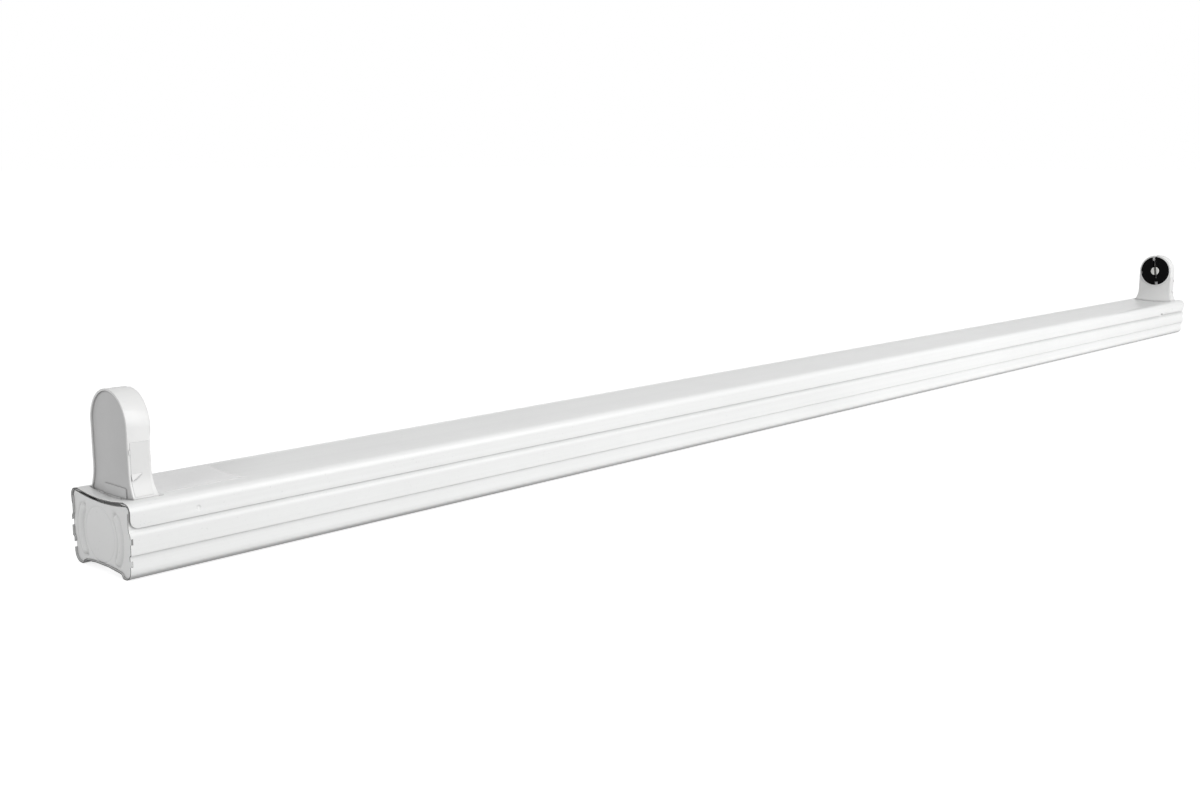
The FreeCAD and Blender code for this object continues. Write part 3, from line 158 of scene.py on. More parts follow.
for name, power, size, aim, distance, towards in lamps:
    away = distance * towards.normalized()
    lamp_data = bpy.data.lights.new(name, "AREA")
    lamp_data.shape = "SQUARE"
    lamp_data.size = size
    lamp_data.energy = power
    lamp = bpy.data.objects.new(name, lamp_data)
    lamp.location = aim + away
    lamp.rotation_euler = (-away).to_track_quat("-Z", "Y").to_euler()
    lamp.visible_camera = False
    scene.collection.objects.link(lamp)

# Base channel.
# The long tray that everything is fixed in. It is folded from half-millimetre steel sheet, with a
# step and a crease rolled along its sides, punched for screws and cable, and stove-enamelled white.
sheet_edge_round = 0.00012
same_spot = 1e-6
flat_within = math.radians(0.4)
sharp_from = math.radians(30)
enamel_relief = 0.000012
noise_low = 0.3
noise_high = 0.7


def new_group(name, inputs, outputs):
    """An empty node group with named sockets, each given as (name, kind, first value)."""
    group = bpy.data.node_groups.new(name, "ShaderNodeTree")
    for label, kind, value in inputs:
        socket = group.interface.new_socket(name=label, in_out="INPUT", socket_type=f"NodeSocket{kind}")
        socket.default_value = value
    for label, kind in outputs:
        group.interface.new_socket(name=label, in_out="OUTPUT", socket_type=f"NodeSocket{kind}")
    return group, group.nodes.new("NodeGroupInput"), group.nodes.new("NodeGroupOutput")


def add_noise(tree, place, scale, detail):
    """A noise texture at a place, with its scale fixed or linked."""
    noise = tree.nodes.new("ShaderNodeTexNoise")
    noise.inputs["Detail"].default_value = detail
    tree.links.new(place, noise.inputs["Vector"])
    feed(tree, scale, noise.inputs["Scale"])
    return noise.outputs["Fac"]


def add_mottle(tree, mask, low, high, depth):
    """Is 1 where a mask is high, and lower by a depth where it is low."""
    return add_range(tree, mask, low, high, add_sum(tree, "SUBTRACT", 1.0, depth), 1.0)


def add_spread(tree, noise, middle, at_low, at_high):
    """A value spread about its middle by a noise, from one share of it to another."""
    lowest = add_sum(tree, "MULTIPLY", middle, at_low)
    highest = add_sum(tree, "MULTIPLY", middle, at_high)
    return add_range(tree, noise, noise_low, noise_high, lowest, highest)


def add_shade(tree, colour, value):
    """A colour times a grey value."""
    shade = tree.nodes.new("ShaderNodeVectorMath")
    shade.operation = "SCALE"
    tree.links.new(colour, shade.inputs[0])
    tree.links.new(value, shade.inputs["Scale"])
    return shade.outputs[0]


def add_mix(tree, share, first, second):
    """Goes from one colour to a second by a share; the second is a link or a fixed colour."""
    mix = tree.nodes.new("ShaderNodeMix")
    mix.data_type = "RGBA"
    tree.links.new(share, mix.inputs[0])
    start, end = [socket for socket in mix.inputs if socket.type == "RGBA"]
    tree.links.new(first, start)
    if isinstance(second, tuple):
        end.default_value = second
    else:
        tree.links.new(second, end)
    return [socket for socket in mix.outputs if socket.type == "RGBA"][0]


def add_axes(tree, vector):
    """The three parts of a vector."""
    parts = tree.nodes.new("ShaderNodeSeparateXYZ")
    tree.links.new(vector, parts.inputs[0])
    return parts.outputs


def make_enamel_skin():
    """Sprayed and baked enamel: a faint cloud, lines left by the rolls, fine flecks and an even peel."""
    cloud_scale = 9.0
    line_scale = (0.7, 520.0, 520.0)
    line_low = 0.35
    line_high = 0.65
    fleck_scale = 1100.0
    fleck_from = 0.70
    fleck_full = 0.78
    sheen_scale = 60.0
    peel_scale = 420.0
    group, given, made = new_group(
        "enamel_skin",
        (("Colour", "Color", (0.9, 0.9, 0.9, 1.0)), ("Cloud", "Float", 0.02), ("Roll Lines", "Float", 0.01),
         ("Fleck", "Float", 0.1), ("Roughness", "Float", 0.35)),
        (("Colour", "Color"), ("Roughness", "Float"), ("Height", "Float")))
    place = group.nodes.new("ShaderNodeTexCoord").outputs["Object"]
    cloud = add_noise(group, place, cloud_scale, detail=3.0)
    clouded = add_mottle(group, cloud, noise_low, noise_high, given.outputs["Cloud"])
    along = group.nodes.new("ShaderNodeMapping")
    along.inputs["Scale"].default_value = line_scale
    group.links.new(place, along.inputs["Vector"])
    lines = add_noise(group, along.outputs["Vector"], 1.0, detail=2.0)
    lined = add_mottle(group, lines, line_low, line_high, given.outputs["Roll Lines"])
    grit = add_noise(group, place, fleck_scale, detail=1.0)
    fleck = add_range(group, grit, fleck_from, fleck_full, 0.0, given.outputs["Fleck"])
    clean = add_sum(group, "SUBTRACT", 1.0, fleck)
    value = add_sum(group, "MULTIPLY", add_sum(group, "MULTIPLY", clouded, lined), clean)
    group.links.new(add_shade(group, given.outputs["Colour"], value), made.inputs["Colour"])
    sheen = add_noise(group, place, sheen_scale, detail=3.0)
    rough = add_spread(group, sheen, given.outputs["Roughness"], 0.88, 1.12)
    group.links.new(rough, made.inputs["Roughness"])
    group.links.new(add_noise(group, place, peel_scale, detail=2.0), made.inputs["Height"])
    return group


def make_bare_and_shaded_ends():
    """Where sheet is cut at a long part's ends, the edge is coloured dark: partly the bare cut edge, partly
    painted shade of the gap beside it. On tongues, beyond a place to the side, the whole sheet is coloured
    dark as painted shade.
    """
    turned_from = 0.45
    turned_full = 0.8
    group, given, made = new_group(
        "bare_and_shaded_ends",
        (("Colour", "Color", (0.9, 0.9, 0.9, 1.0)), ("Edge Colour", "Color", (0.1, 0.1, 0.1, 1.0)),
         ("End Place", "Float", 1.0), ("Side Place", "Float", 1.0)),
        (("Colour", "Color"),))
    place = add_axes(group, group.nodes.new("ShaderNodeTexCoord").outputs["Object"])
    facing = add_axes(group, group.nodes.new("ShaderNodeNewGeometry").outputs["True Normal"])
    along = add_sum(group, "ABSOLUTE", place["X"], 0.0)
    at_end = add_sum(group, "GREATER_THAN", along, given.outputs["End Place"])
    turned = add_sum(group, "ABSOLUTE", facing["X"], 0.0)
    outward = add_range(group, turned, turned_from, turned_full, 0.0, 1.0)
    aside = add_sum(group, "ABSOLUTE", place["Y"], 0.0)
    at_side = add_sum(group, "GREATER_THAN", aside, given.outputs["Side Place"])
    # Dark on cut ends that face along the part, as bare edge and painted shade, and on the tongues to the
    # side, as painted shade.
    cut = add_sum(group, "MAXIMUM", add_sum(group, "MULTIPLY", at_end, outward), at_side)
    edged = add_mix(group, cut, given.outputs["Colour"], given.outputs["Edge Colour"])
    group.links.new(edged, made.inputs["Colour"])
    return group


def make_gap_shade():
    """Painted shade in gaps and inner corners: the colour is darkened where little light reaches, with some
    dust settled there too.
    """
    open_from = 0.95
    hollow_samples = 8
    group, given, made = new_group(
        "gap_shade",
        (("Colour", "Color", (0.9, 0.9, 0.9, 1.0)), ("Reach", "Float", 0.003), ("Depth", "Float", 0.5)),
        (("Colour", "Color"),))
    # Painted shade: the less open a spot, the darker its colour.
    hollow = group.nodes.new("ShaderNodeAmbientOcclusion")
    hollow.samples = hollow_samples
    group.links.new(given.outputs["Reach"], hollow.inputs["Distance"])
    value = add_mottle(group, hollow.outputs["AO"], 0.0, open_from, given.outputs["Depth"])
    group.links.new(add_shade(group, given.outputs["Colour"], value), made.inputs["Colour"])
    return group


def colour_through(finish, group, **values):
    """Puts a node group between a finish's colour and its shader."""
    tree = finish.node_tree
    colour = tree.nodes["Principled BSDF"].inputs["Base Color"]
    step = tree.nodes.new("ShaderNodeGroup")
    step.node_tree = group
    for label, value in values.items():
        step.inputs[label.replace("_", " ")].default_value = value
    tree.links.new(colour.links[0].from_socket, step.inputs["Colour"])
    tree.links.new(step.outputs["Colour"], colour)


def new_finish(name, skin, values, height, **plain):
    """A material with the colour, gloss and relief of a skin, and plain values on its shader."""
    finish = bpy.data.materials.new(name)
    finish.use_nodes = True
    tree = finish.node_tree
    shader = tree.nodes["Principled BSDF"]
    skin_node = tree.nodes.new("ShaderNodeGroup")
    skin_node.node_tree = skin
    for label, value in values.items():
        skin_node.inputs[label].default_value = value
    tree.links.new(skin_node.outputs["Colour"], shader.inputs["Base Color"])
    tree.links.new(skin_node.outputs["Roughness"], shader.inputs["Roughness"])
    relief = tree.nodes.new("ShaderNodeBump")
    relief.inputs["Strength"].default_value = 1.0
    relief.inputs["Distance"].default_value = height
    tree.links.new(skin_node.outputs["Height"], relief.inputs["Height"])
    tree.links.new(relief.outputs["Normal"], shader.inputs["Normal"])
    for label, value in plain.items():
        shader.inputs[label.replace("_", " ")].default_value = value
    return finish


def enamel(name, colour, cloud, roll_lines, fleck, roughness):
    """A coat of the white stove enamel."""
    return new_finish(name, enamel_skin,
                      {"Colour": (*colour, 1.0), "Cloud": cloud, "Roll Lines": roll_lines, "Fleck": fleck,
                       "Roughness": roughness}, enamel_relief)


def round_edges(piece, width, segments):
    """Rounds a piece's sharp edges and keeps its flat faces even in the light."""
    edges = piece.modifiers.new("edges", "BEVEL")
    edges.width = width
    edges.segments = segments
    edges.limit_method = "ANGLE"
    edges.angle_limit = sharp_from
    edges.harden_normals = True


def dress(node, finish, edge_round, flatten=True):
    """Gives a solid its finish, rounds its sharp edges a little and smooths its curved faces."""
    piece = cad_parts[node]
    piece.data.materials.clear()
    piece.data.materials.append(finish)
    for face in piece.data.polygons:
        face.use_smooth = True
    if edge_round == 0:
        return
    weld = piece.modifiers.new("weld", "WELD")
    weld.merge_threshold = same_spot
    if flatten:
        flat = piece.modifiers.new("flat", "DECIMATE")
        flat.decimate_type = "DISSOLVE"
        flat.angle_limit = flat_within
    round_edges(piece, edge_round, segments=3)


enamel_skin = make_enamel_skin()
bare_and_shaded_ends = make_bare_and_shaded_ends()
gap_shade = make_gap_shade()
tray_enamel = enamel("tray_enamel", (0.90, 0.905, 0.90), cloud=0.03, roll_lines=0.03, fleck=0.10,
                     roughness=0.36)
# Painted shade darkens the tray's colour in gaps and inner corners. Its cut ends are coloured nearly black,
# as bare edge and painted shade together.
colour_through(tray_enamel, gap_shade, Reach=0.004, Depth=0.85)
colour_through(tray_enamel, bare_and_shaded_ends, Edge_Colour=(0.03, 0.03, 0.03, 1.0), End_Place=0.6180, Side_Place=1.0)
dress("base_channel", tray_enamel, sheet_edge_round)

# End plates.
# A pressed steel plate closes each end of the tray. Two bowed ribs stiffen it on each side of a round
# knock-out, and it hangs on a short tab riveted under the tray's floor. It is enamelled with the tray.
solid_face = 0.6180
face_within = 1e-5
plate_back = 0.6171
plate_gauge = 0.0006
plate_crease = math.radians(40)
knockout_aside = 0.0022
knockout_up = 0.0165
knockout_radius = 0.0131
knockout_half_width = 0.0003
knockout_depth = 0.00022
groove_reach = 0.01345
rib_radius = 0.0182
rib_half_angle = math.radians(33)
rib_flat = 0.0004
rib_flank = 0.0018
rib_raise = 0.0008
valley_offset = 0.0025
valley_half_width = 0.0006
valley_depth = 0.0005
dent_past_rib = math.radians(9)
dent_radius = 0.0013
dent_depth = 0.0006
coarse_step = 0.0008
fine_step = 0.0003
fine_from = 0.0124
fine_to = 0.0218
turn_step = 1.4 * fine_step
net_width = 0.062
net_height = 0.036
border_clear = 0.4 * coarse_step
net_exactness = 1e-7

plate_enamel = enamel("end_plate_enamel", (0.91, 0.915, 0.91), cloud=0.04, roll_lines=0.0, fleck=0.12,
                      roughness=0.40)
# Painted shade darkens the plate's colour in its grooves and gaps, and its side tongues are coloured dark
# grey as painted shade.
colour_through(plate_enamel, gap_shade, Reach=0.002, Depth=0.9)
colour_through(plate_enamel, bare_and_shaded_ends, Edge_Colour=(0.30, 0.30, 0.30, 1.0), End_Place=1.0, Side_Place=0.0259)


def welded(node):
    """A copy of a solid's mesh with its corners joined."""
    work = bmesh.new()
    work.from_mesh(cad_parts[node].data)
    bmesh.ops.remove_doubles(work, verts=work.verts, dist=same_spot)
    work.verts.index_update()
    return work


def enclosed(loop):
    """The area inside a closed row of corners, above 0 where the row turns left."""
    return sum(a.co.y * b.co.z - b.co.y * a.co.z for a, b in zip(loop, loop[1:] + loop[:1])) / 2


def outline_at(work, x, middle):
    """The outline of a solid's flat face that stands at one place along the batten, turning left.

    The knock-out's groove runs out through the lower edge, so its corners are passed over.
    """
    flat = {face for face in work.faces if all(abs(corner.co.x - x) < face_within for corner in face.verts)}
    border = [edge for edge in work.edges if sum(face in flat for face in edge.link_faces) == 1]
    beside = {}
    for edge in border:
        first, last = edge.verts
        beside.setdefault(first, []).append(last)
        beside.setdefault(last, []).append(first)
    loops = []
    left = set(beside)
    while left:
        start = min(left, key=lambda corner: corner.index)
        loop = [start]
        left.discard(start)
        while True:
            onward = [corner for corner in beside[loop[-1]] if corner in left]
            if not onward:
                break
            loop.append(onward[0])
            left.discard(onward[0])
        loops.append(loop)
    outer = max(loops, key=lambda loop: abs(enclosed(loop)))
    if enclosed(outer) < 0:
        outer.reverse()
    spots = [Vector((corner.co.y, corner.co.z)) for corner in outer]
    return [spot for spot in spots if (spot - middle).length > groove_reach]


def net_inside(outline, middle):
    """An outline filled with a net, fine where the ribs and the knock-out are: its corners and triangles."""
    border = []
    for index, corner in enumerate(outline):
        before = outline[index - 1]
        parts = max(int((corner - before).length / coarse_step), 1)
        border += [before.lerp(corner, part / parts) for part in range(parts)]
    net = []
    turns = int(math.tau * rib_radius / turn_step)
    for ring in range(int((fine_to - fine_from) / fine_step) + 1):
        away = fine_from + ring * fine_step
        for turn in range(turns):
            angle = math.tau * (turn + 0.5 * (ring % 2)) / turns
            net.append(middle + away * Vector((math.cos(angle), math.sin(angle))))
    for row in range(int(net_width / coarse_step)):
        for column in range(int(net_height / coarse_step)):
            across = -net_width / 2 + (row + 0.5 * (column % 2)) * coarse_step
            spot = Vector((across, column * coarse_step))
            if not fine_from - coarse_step / 2 < (spot - middle).length < fine_to + coarse_step / 2:
                net.append(spot)
    beside = kdtree.KDTree(len(border))
    for index, corner in enumerate(border):
        beside.insert(corner.to_3d(), index)
    beside.balance()
    kept = [spot for spot in net if beside.find(spot.to_3d())[2] > border_clear]
    edge = list(range(len(border)))
    filled = geometry.delaunay_2d_cdt(border + kept, [], [edge], 1, net_exactness)
    return filled[0], filled[2]


def ease(value):
    """Runs smoothly from 0 to 1."""
    value = min(max(value, 0.0), 1.0)
    return value * value * (3 - 2 * value)


def sunk(off_line, half_width, depth):
    """How deep a soft groove or dent is at a distance from its line or middle."""
    return depth * math.exp(-(off_line / half_width) ** 2)


def pressed_height(spot, middle):
    """How far the press pushed the plate out at a spot: ribs out, the lines round them and dents in."""
    off = spot - middle
    away = off.length
    turn = math.atan2(off.y, abs(off.x))
    past = max(abs(turn) - rib_half_angle, 0.0) * away
    from_rib = math.hypot(away - rib_radius, past)
    height = rib_raise * (1 - ease((from_rib - rib_flat) / rib_flank))
    height -= sunk(from_rib - valley_offset, valley_half_width, valley_depth)
    height -= sunk(away - knockout_radius, knockout_half_width, knockout_depth)
    reach = rib_half_angle + dent_past_rib
    for across in (-1, 1):
        for up in (-1, 1):
            dent = middle + rib_radius * Vector((across * math.cos(reach), up * math.sin(reach)))
            height -= sunk((spot - dent).length, dent_radius, dent_depth)
    return height


def press_net(net, faces, side, middle):
    """A flat net pressed into shape and given its gauge, as a mesh to work on."""
    points = []
    rings = []
    for x, turned in ((plate_back + plate_gauge, side > 0), (plate_back, side < 0)):
        start = len(points)
        points += [Vector((side * (x + pressed_height(spot, middle)), spot.x, spot.y)) for spot in net]
        for face in faces:
            ring = [start + index for index in face]
            rings.append(ring if turned else ring[::-1])
    press = bmesh.new()
    corners = [press.verts.new(point) for point in points]
    press.verts.index_update()
    for ring in rings:
        press.faces.new([corners[index] for index in ring])
    for edge in [edge for edge in press.edges if len(edge.link_faces) == 1]:
        first, last = sorted(corner.index for corner in edge.verts)
        if last < len(net):
            press.faces.new([corners[index] for index in (first, last, last + len(net), first + len(net))])
    bmesh.ops.recalc_face_normals(press, faces=press.faces)
    return press


def press_plate(side, word):
    """The end plate: its outline pressed into shape, and the tab that hangs it in the tray."""
    middle = Vector((-side * knockout_aside, knockout_up))
    work = welded(f"end_cap_{word}")
    net, faces = net_inside(outline_at(work, side * solid_face, middle), middle)
    press = press_net(net, faces, side, middle)
    tab = {}
    for face in work.faces:
        if min(abs(corner.co.x) for corner in face.verts) < plate_back:
            for corner in face.verts:
                if corner not in tab:
                    tab[corner] = press.verts.new(corner.co)
            press.faces.new([tab[corner] for corner in face.verts])
    loose = [corner for corner in press.verts if not corner.link_faces]
    bmesh.ops.delete(press, geom=loose, context="VERTS")
    for face in press.faces:
        face.smooth = True
    plate = bpy.data.meshes.new(f"end_plate_{word}")
    press.to_mesh(plate)
    press.free()
    work.free()
    plate.materials.append(plate_enamel)
    piece = bpy.data.objects.new(f"end_plate_{word}", plate)
    scene.collection.objects.link(piece)
    creases = piece.modifiers.new("creases", "EDGE_SPLIT")
    creases.split_angle = plate_crease
    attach(piece, "tray")
    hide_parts(f"end_cap_{word}")


for side, word in ((-1, "left"), (1, "right")):
    press_plate(side, word)

# Rivets.
# Blind aluminium rivets, one through each end plate's tab and the tray's floor. Each is set from
# below, and its domed head stays under the floor.


def make_metal_skin():
    """Bare or plated metal: fine lines of the tool, a slight dulling in patches and small pits."""
    dull_scale = 240.0
    group, given, made = new_group(
        "metal_skin",
        (("Colour", "Color", (0.7, 0.7, 0.7, 1.0)), ("Dulling", "Float", 0.15), ("Roughness", "Float", 0.3),
         ("Line Scale", "Float", 2600.0)),
        (("Colour", "Color"), ("Roughness", "Float"), ("Height", "Float")))
    place = group.nodes.new("ShaderNodeTexCoord").outputs["Object"]
    dull = add_noise(group, place, dull_scale, detail=3.0)
    value = add_mottle(group, dull, noise_low, noise_high, given.outputs["Dulling"])
    group.links.new(add_shade(group, given.outputs["Colour"], value), made.inputs["Colour"])
    rough = add_spread(group, dull, given.outputs["Roughness"], 1.3, 0.8)
    group.links.new(rough, made.inputs["Roughness"])
    lines = add_noise(group, place, given.outputs["Line Scale"], detail=1.0)
    group.links.new(lines, made.inputs["Height"])
    return group


def metal(name, colour, dulling, roughness, line_scale, line_depth):
    """A bare or plated metal."""
    return new_finish(name, metal_skin,
                      {"Colour": (*colour, 1.0), "Dulling": dulling, "Roughness": roughness,
                       "Line Scale": line_scale}, line_depth, Metallic=1.0)


metal_skin = make_metal_skin()
rivet_alloy = metal("rivet_alloy", (0.78, 0.78, 0.78), dulling=0.18, roughness=0.34,
                    line_scale=2400.0, line_depth=0.000008)
dress("end_cap_rivets", rivet_alloy, edge_round=0.0)

# Cable grommet.
# A soft black rubber ring pressed into the cable hole in the tray's floor. Its two lips grip the
# sheet, and it keeps the cut edge off the cable.


def make_moulded_skin():
    """A moulding: its colour mottled a little by the flow, with the fine spark grain of the mould."""
    flow_scale = 90.0
    dust_scale = 900.0
    dust_low = 0.4
    up_from = 0.3
    dust_colour = (0.55, 0.54, 0.52, 1.0)
    group, given, made = new_group(
        "moulded_skin",
        (("Colour", "Color", (0.9, 0.9, 0.9, 1.0)), ("Mottle", "Float", 0.03), ("Dust", "Float", 0.05),
         ("Roughness", "Float", 0.4), ("Grain Scale", "Float", 1500.0)),
        (("Colour", "Color"), ("Roughness", "Float"), ("Height", "Float")))
    place = group.nodes.new("ShaderNodeTexCoord").outputs["Object"]
    flow = add_noise(group, place, flow_scale, detail=3.0)
    value = add_mottle(group, flow, noise_low, noise_high, given.outputs["Mottle"])
    shaded = add_shade(group, given.outputs["Colour"], value)
    facing = add_axes(group, group.nodes.new("ShaderNodeNewGeometry").outputs["Normal"])
    up = add_range(group, facing["Z"], up_from, 1.0, 0.0, given.outputs["Dust"])
    dust = add_noise(group, place, dust_scale, detail=3.0)
    patches = add_range(group, dust, dust_low, noise_high, 0.0, 1.0)
    settled = add_sum(group, "MULTIPLY", up, patches)
    group.links.new(add_mix(group, settled, shaded, dust_colour), made.inputs["Colour"])
    grain = add_noise(group, place, given.outputs["Grain Scale"], detail=2.0)
    rough = add_spread(group, grain, given.outputs["Roughness"], 0.9, 1.1)
    group.links.new(rough, made.inputs["Roughness"])
    group.links.new(grain, made.inputs["Height"])
    return group


def moulding(name, colour, mottle, dust, roughness, grain, depth, **plain):
    """A moulded plastic or rubber, with the scale and depth of its mould's grain."""
    return new_finish(name, moulded_skin,
                      {"Colour": (*colour, 1.0), "Mottle": mottle, "Dust": dust, "Roughness": roughness,
                       "Grain Scale": grain}, depth, **plain)


moulded_skin = make_moulded_skin()
grommet_rubber = moulding("grommet_rubber", (0.045, 0.045, 0.047), mottle=0.2, dust=0.10, roughness=0.62,
                          grain=1300.0, depth=0.00002)
dress("cable_grommet", grommet_rubber, edge_round=0.0003)

# Terminal block.
# Three poles moulded in one piece of natural nylon stand on the floor beside the cable hole, each
# with a brass clamp and two zinc-plated screws. One longer screw holds the block down.
block_nylon = moulding("block_nylon", (0.80, 0.79, 0.73), mottle=0.05, dust=0.04, roughness=0.48,
                       grain=1500.0, depth=0.00001, Subsurface_Weight=0.2, Subsurface_Scale=0.002)
clamp_brass = metal("clamp_brass", (0.78, 0.60, 0.30), dulling=0.2, roughness=0.28,
                    line_scale=2600.0, line_depth=0.000006)
screw_zinc = metal("screw_zinc", (0.74, 0.75, 0.74), dulling=0.15, roughness=0.26,
                   line_scale=2600.0, line_depth=0.000006)
dress("terminal_block", block_nylon, edge_round=0.0003)
dress("terminal_clamps", clamp_brass, edge_round=0.0001)
dress("terminal_screws", screw_zinc, edge_round=0.0001)
dress("terminal_block_screw", screw_zinc, edge_round=0.0001)

# Earth point.
# A tinned copper ring lug, crimped on the earth wire, lies on the floor under a spring washer. A
# zinc-plated cheese-head screw, cut straight into the floor, holds them.
lug_tin = metal("lug_tin", (0.76, 0.76, 0.74), dulling=0.25, roughness=0.38,
                line_scale=2200.0, line_depth=0.000008)
dress("earth_lug", lug_tin, edge_round=0.0001)
dress("earth_washer", screw_zinc, edge_round=0.0001)
dress("earth_screw", screw_zinc, edge_round=0.00015)

# Lampholders.
# One stands at each end on its base, held by a stem and a latch through the tray. The body is moulded
# in white heat-resistant plastic, and a separate back panel closes the chamber from outside.
holder_white = moulding("holder_white", (0.84, 0.84, 0.835), mottle=0.02, dust=0.05, roughness=0.34,
                        grain=1500.0, depth=0.000006)
panel_white = moulding("panel_white", (0.62, 0.62, 0.62), mottle=0.03, dust=0.05, roughness=0.42,
                       grain=1300.0, depth=0.00001)
# Painted shade darkens the body and the back panel in their gaps and inner corners.
colour_through(holder_white, gap_shade, Reach=0.003, Depth=0.5)
colour_through(panel_white, gap_shade, Reach=0.0012, Depth=0.9)
for side in ("left", "right"):
    dress(f"lampholder_body_{side}", holder_white, edge_round=0.0004)
    dress(f"lampholder_back_{side}", panel_white, edge_round=0.0003, flatten=False)

# Clip arms on the lampholders.
# On both flanks of each lampholder a thin arm is moulded into the lower half, ending in a step. A small
# ramp stands at its foot and a nib beside its middle, for the fingers that press the body in.
holder_front = 0.6008
past_corner = 0.00001
arm_rim = 0.0009
arm_lip = 0.0010
arm_low = 0.0362
arm_high = 0.0605
arm_rise = 0.0002
arm_sunk = 0.0004
arm_rows = 14
ramp_low = 0.0432
ramp_high = 0.0462
ramp_length = 0.0052
ramp_rise = 0.0010
ramp_lip = 0.0001
ramp_slant = 0.0002
nib_low = 0.0552
nib_high = 0.0572
nib_inset = 0.0002
nib_length = 0.0009
nib_rise = 0.0005
arm_edge_round = 0.0001

# The arms are coloured greyer than the body they are moulded into, as painted shade on the lower flanks, and
# painted shade darkens their gaps too.
arm_white_painted_shade = moulding("arm_white_painted_shade", (0.76, 0.76, 0.755), mottle=0.02, dust=0.05, roughness=0.38,
                     grain=1500.0, depth=0.000006)
colour_through(arm_white_painted_shade, gap_shade, Reach=0.002, Depth=0.8)


def flank_at(work, height):
    """How far a lampholder's flank stands from its middle at a height."""
    widest = 0.0
    for edge in work.edges:
        first, last = edge.verts[0].co, edge.verts[1].co
        if (first.z - height) * (last.z - height) < 0:
            share = (height - first.z) / (last.z - first.z)
            widest = max(widest, abs(first.lerp(last, share).y))
    return widest


def add_arm(mould, work, flank, rim, lip):
    """The thin arm, laid on the flank in rows that follow its flare."""
    rows = []
    for row in range(arm_rows + 1):
        height = arm_low + (arm_high - arm_low) * row / arm_rows
        reach = flank_at(work, height + past_corner)
        rows.append([mould.verts.new((x, flank * (reach + off), height))
                     for x, off in ((rim, -arm_sunk), (rim, arm_rise), (lip, arm_rise), (lip, -arm_sunk))])
    mould.faces.new(rows[0])
    mould.faces.new(rows[-1][::-1])
    for below, above in zip(rows, rows[1:]):
        for turn in range(4):
            onward = (turn + 1) % 4
            mould.faces.new([below[turn], above[turn], above[onward], below[onward]])


def add_block(mould, flank, corners):
    """A six-sided block on a flank, from its four low corners and its four high ones, given in turn."""
    made = [mould.verts.new((x, flank * y, z)) for x, y, z in corners]
    for ring in ((3, 2, 1, 0), (4, 5, 6, 7), (0, 1, 5, 4), (1, 2, 6, 5), (2, 3, 7, 6), (3, 0, 4, 7)):
        mould.faces.new([made[index] for index in ring])


def mould_arms(side, word):
    """The arm, ramp and nib on both flanks of one lampholder."""
    work = welded(f"lampholder_body_{word}")
    low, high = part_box(f"lampholder_body_{word}")
    back = side * max(abs(low[0]), abs(high[0]))
    rim = back - side * arm_rim
    ramp_end = rim - side * ramp_length
    nib_near = back - side * nib_inset
    nib_end = back - side * nib_length
    at_ramp = flank_at(work, (ramp_low + ramp_high) / 2)
    at_nib = flank_at(work, (nib_low + nib_high) / 2)
    ramp = [(rim, at_ramp - arm_sunk, ramp_low),
            (ramp_end, at_ramp - arm_sunk, ramp_low),
            (ramp_end, at_ramp + arm_rise + ramp_lip, ramp_high),
            (rim, at_ramp + ramp_rise, ramp_low),
            (rim, at_ramp - arm_sunk, ramp_high),
            (ramp_end, at_ramp - arm_sunk, ramp_high),
            (ramp_end, at_ramp + arm_rise, ramp_high + ramp_slant),
            (rim, at_ramp + arm_rise, ramp_high + ramp_slant)]
    nib_foot = ((nib_near, -arm_sunk), (nib_end, -arm_sunk), (nib_end, nib_rise), (nib_near, nib_rise))
    nib = [(x, at_nib + off, z) for z in (nib_low, nib_high) for x, off in nib_foot]
    mould = bmesh.new()
    for flank in (-1, 1):
        add_arm(mould, work, flank, rim, side * (holder_front + arm_lip))
        add_block(mould, flank, ramp)
        add_block(mould, flank, nib)
    bmesh.ops.recalc_face_normals(mould, faces=mould.faces)
    mesh = bpy.data.meshes.new(f"clip_arms_{word}")
    mould.to_mesh(mesh)
    mould.free()
    work.free()
    mesh.materials.append(arm_white_painted_shade)
    for face in mesh.polygons:
        face.use_smooth = True
    piece = bpy.data.objects.new(f"clip_arms_{word}", mesh)
    scene.collection.objects.link(piece)
    round_edges(piece, arm_edge_round, segments=2)
    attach(piece, "tray")


for side, word in ((-1, "left"), (1, "right")):
    mould_arms(side, word)

# Contact springs.
# Two strips of sprung brass stand in the chamber of each lampholder. They are bent so that their tips
# press on the tube's pins.
spring_brass = metal("spring_brass", (0.80, 0.62, 0.30), dulling=0.15, roughness=0.22,
                     line_scale=2600.0, line_depth=0.000004)
for side in ("left", "right"):
    dress(f"contact_springs_{side}", spring_brass, edge_round=0.00005)

# Rotors.
# The black turning ring of each lampholder takes the tube's pins in its slot, and a white core behind
# it carries them round. Both are moulded, and they turn together in the body's bearing.
rotor_black = moulding("rotor_black", (0.0022, 0.0022, 0.0023), mottle=0.2, dust=0.0, roughness=0.46,
                       grain=1600.0, depth=0.000006, Specular_IOR_Level=0.05)
core_white = moulding("core_white", (0.78, 0.78, 0.75), mottle=0.03, dust=0.05, roughness=0.36,
                      grain=1500.0, depth=0.000006)
for side in ("left", "right"):
    dress(f"rotor_{side}", rotor_black, edge_round=0.0003)
    dress(f"rotor_core_{side}", core_white, edge_round=0.0003)

# Wires and their clips.
# Single plastic-covered wires run from the terminals to the lampholders along the floor, brown to one
# end and blue to the other, in small white clips. A short green and yellow one goes to the earth lug.
stripe_from = 0.55
stripe_full = 0.60
clip_nylon = moulding("clip_nylon", (0.86, 0.86, 0.83), mottle=0.04, dust=0.04, roughness=0.46,
                      grain=1500.0, depth=0.00001)
dress("wire_clips", clip_nylon, edge_round=0.0003)


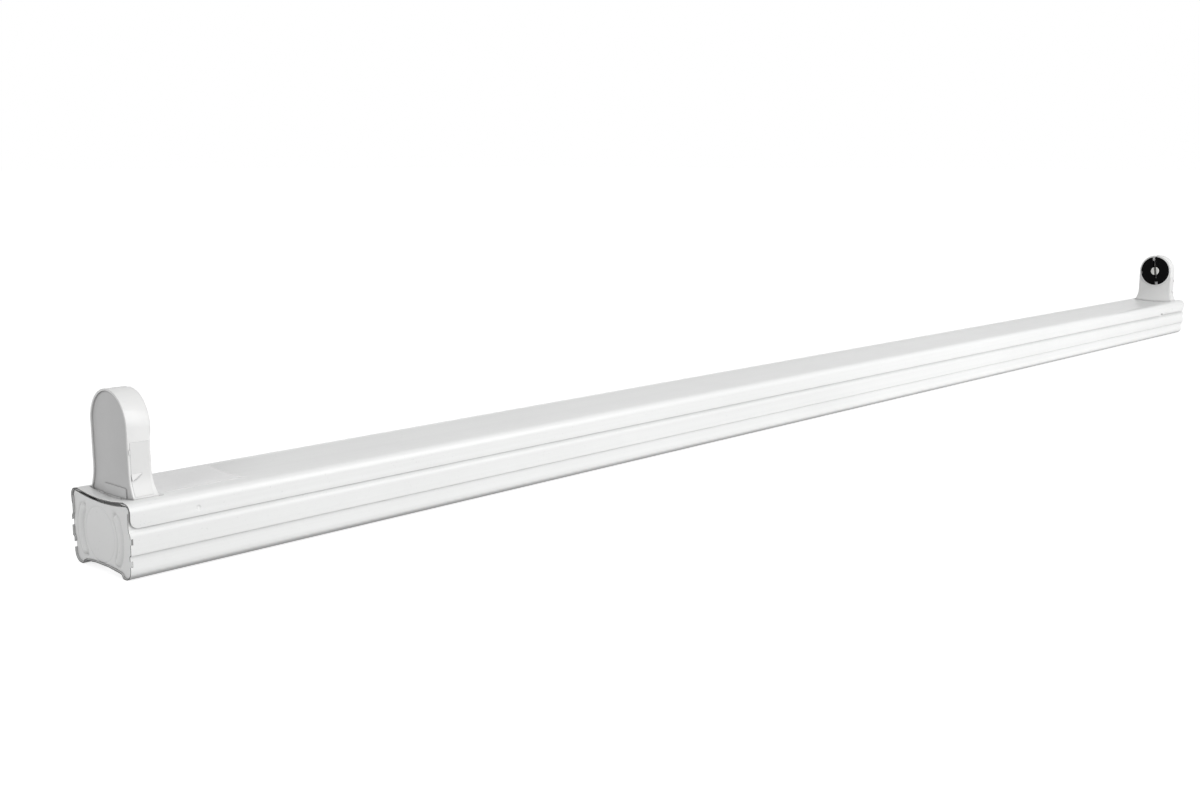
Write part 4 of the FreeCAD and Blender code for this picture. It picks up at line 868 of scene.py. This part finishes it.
def make_side_stripe():
    """A stripe of a second colour along the side of a wire that faces one way."""
    group, given, made = new_group(
        "side_stripe",
        (("Colour", "Color", (0.1, 0.3, 0.1, 1.0)), ("Stripe Colour", "Color", (0.8, 0.6, 0.05, 1.0))),
        (("Colour", "Color"),))
    facing = add_axes(group, group.nodes.new("ShaderNodeNewGeometry").outputs["True Normal"])
    tilt = add_sum(group, "SUBTRACT", facing["Z"], facing["Y"])
    share = add_range(group, tilt, stripe_from, stripe_full, 0.0, 1.0)
    striped = add_mix(group, share, given.outputs["Colour"], given.outputs["Stripe Colour"])
    group.links.new(striped, made.inputs["Colour"])
    return group


def wire_cover(name, colour):
    """The soft plastic round a wire."""
    return moulding(name, colour, mottle=0.10, dust=0.03, roughness=0.40, grain=1200.0, depth=0.000008)


earth_green = wire_cover("earth_green", (0.10, 0.34, 0.06))
colour_through(earth_green, make_side_stripe(), Stripe_Colour=(0.80, 0.62, 0.06, 1.0))
dress("wire_live", wire_cover("live_brown", (0.16, 0.065, 0.03)), edge_round=0.0)
dress("wire_neutral", wire_cover("neutral_blue", (0.035, 0.13, 0.42)), edge_round=0.0)
dress("wire_earth", earth_green, edge_round=0.0)

# Cover.
# A dished lid folded from the same sheet and enamelled with a little more gloss. Pressed dimples in
# its sides click over the tray, and a notch in its rim lets a screwdriver lift it off.
cover_enamel = enamel("cover_enamel", (0.90, 0.905, 0.90), cloud=0.03, roll_lines=0.015, fleck=0.12,
                      roughness=0.33)
# Painted shade darkens the cover's colour in its gaps and dimples. Its cut ends are coloured nearly black, as
# bare edge and painted shade together.
colour_through(cover_enamel, gap_shade, Reach=0.003, Depth=0.45)
colour_through(cover_enamel, bare_and_shaded_ends, Edge_Colour=(0.06, 0.06, 0.06, 1.0), End_Place=0.6176, Side_Place=1.0)
dress("cover", cover_enamel, sheet_edge_round)

# Label.
# A piece of thin clear film with a pale grey back. It is cut square and stuck on the dish beside the
# left lampholder.
label_film = moulding("label_film", (0.88, 0.88, 0.88), mottle=0.03, dust=0.05, roughness=0.22,
                      grain=900.0, depth=0.000004)
dress("rating_label", label_film, edge_round=0.0)
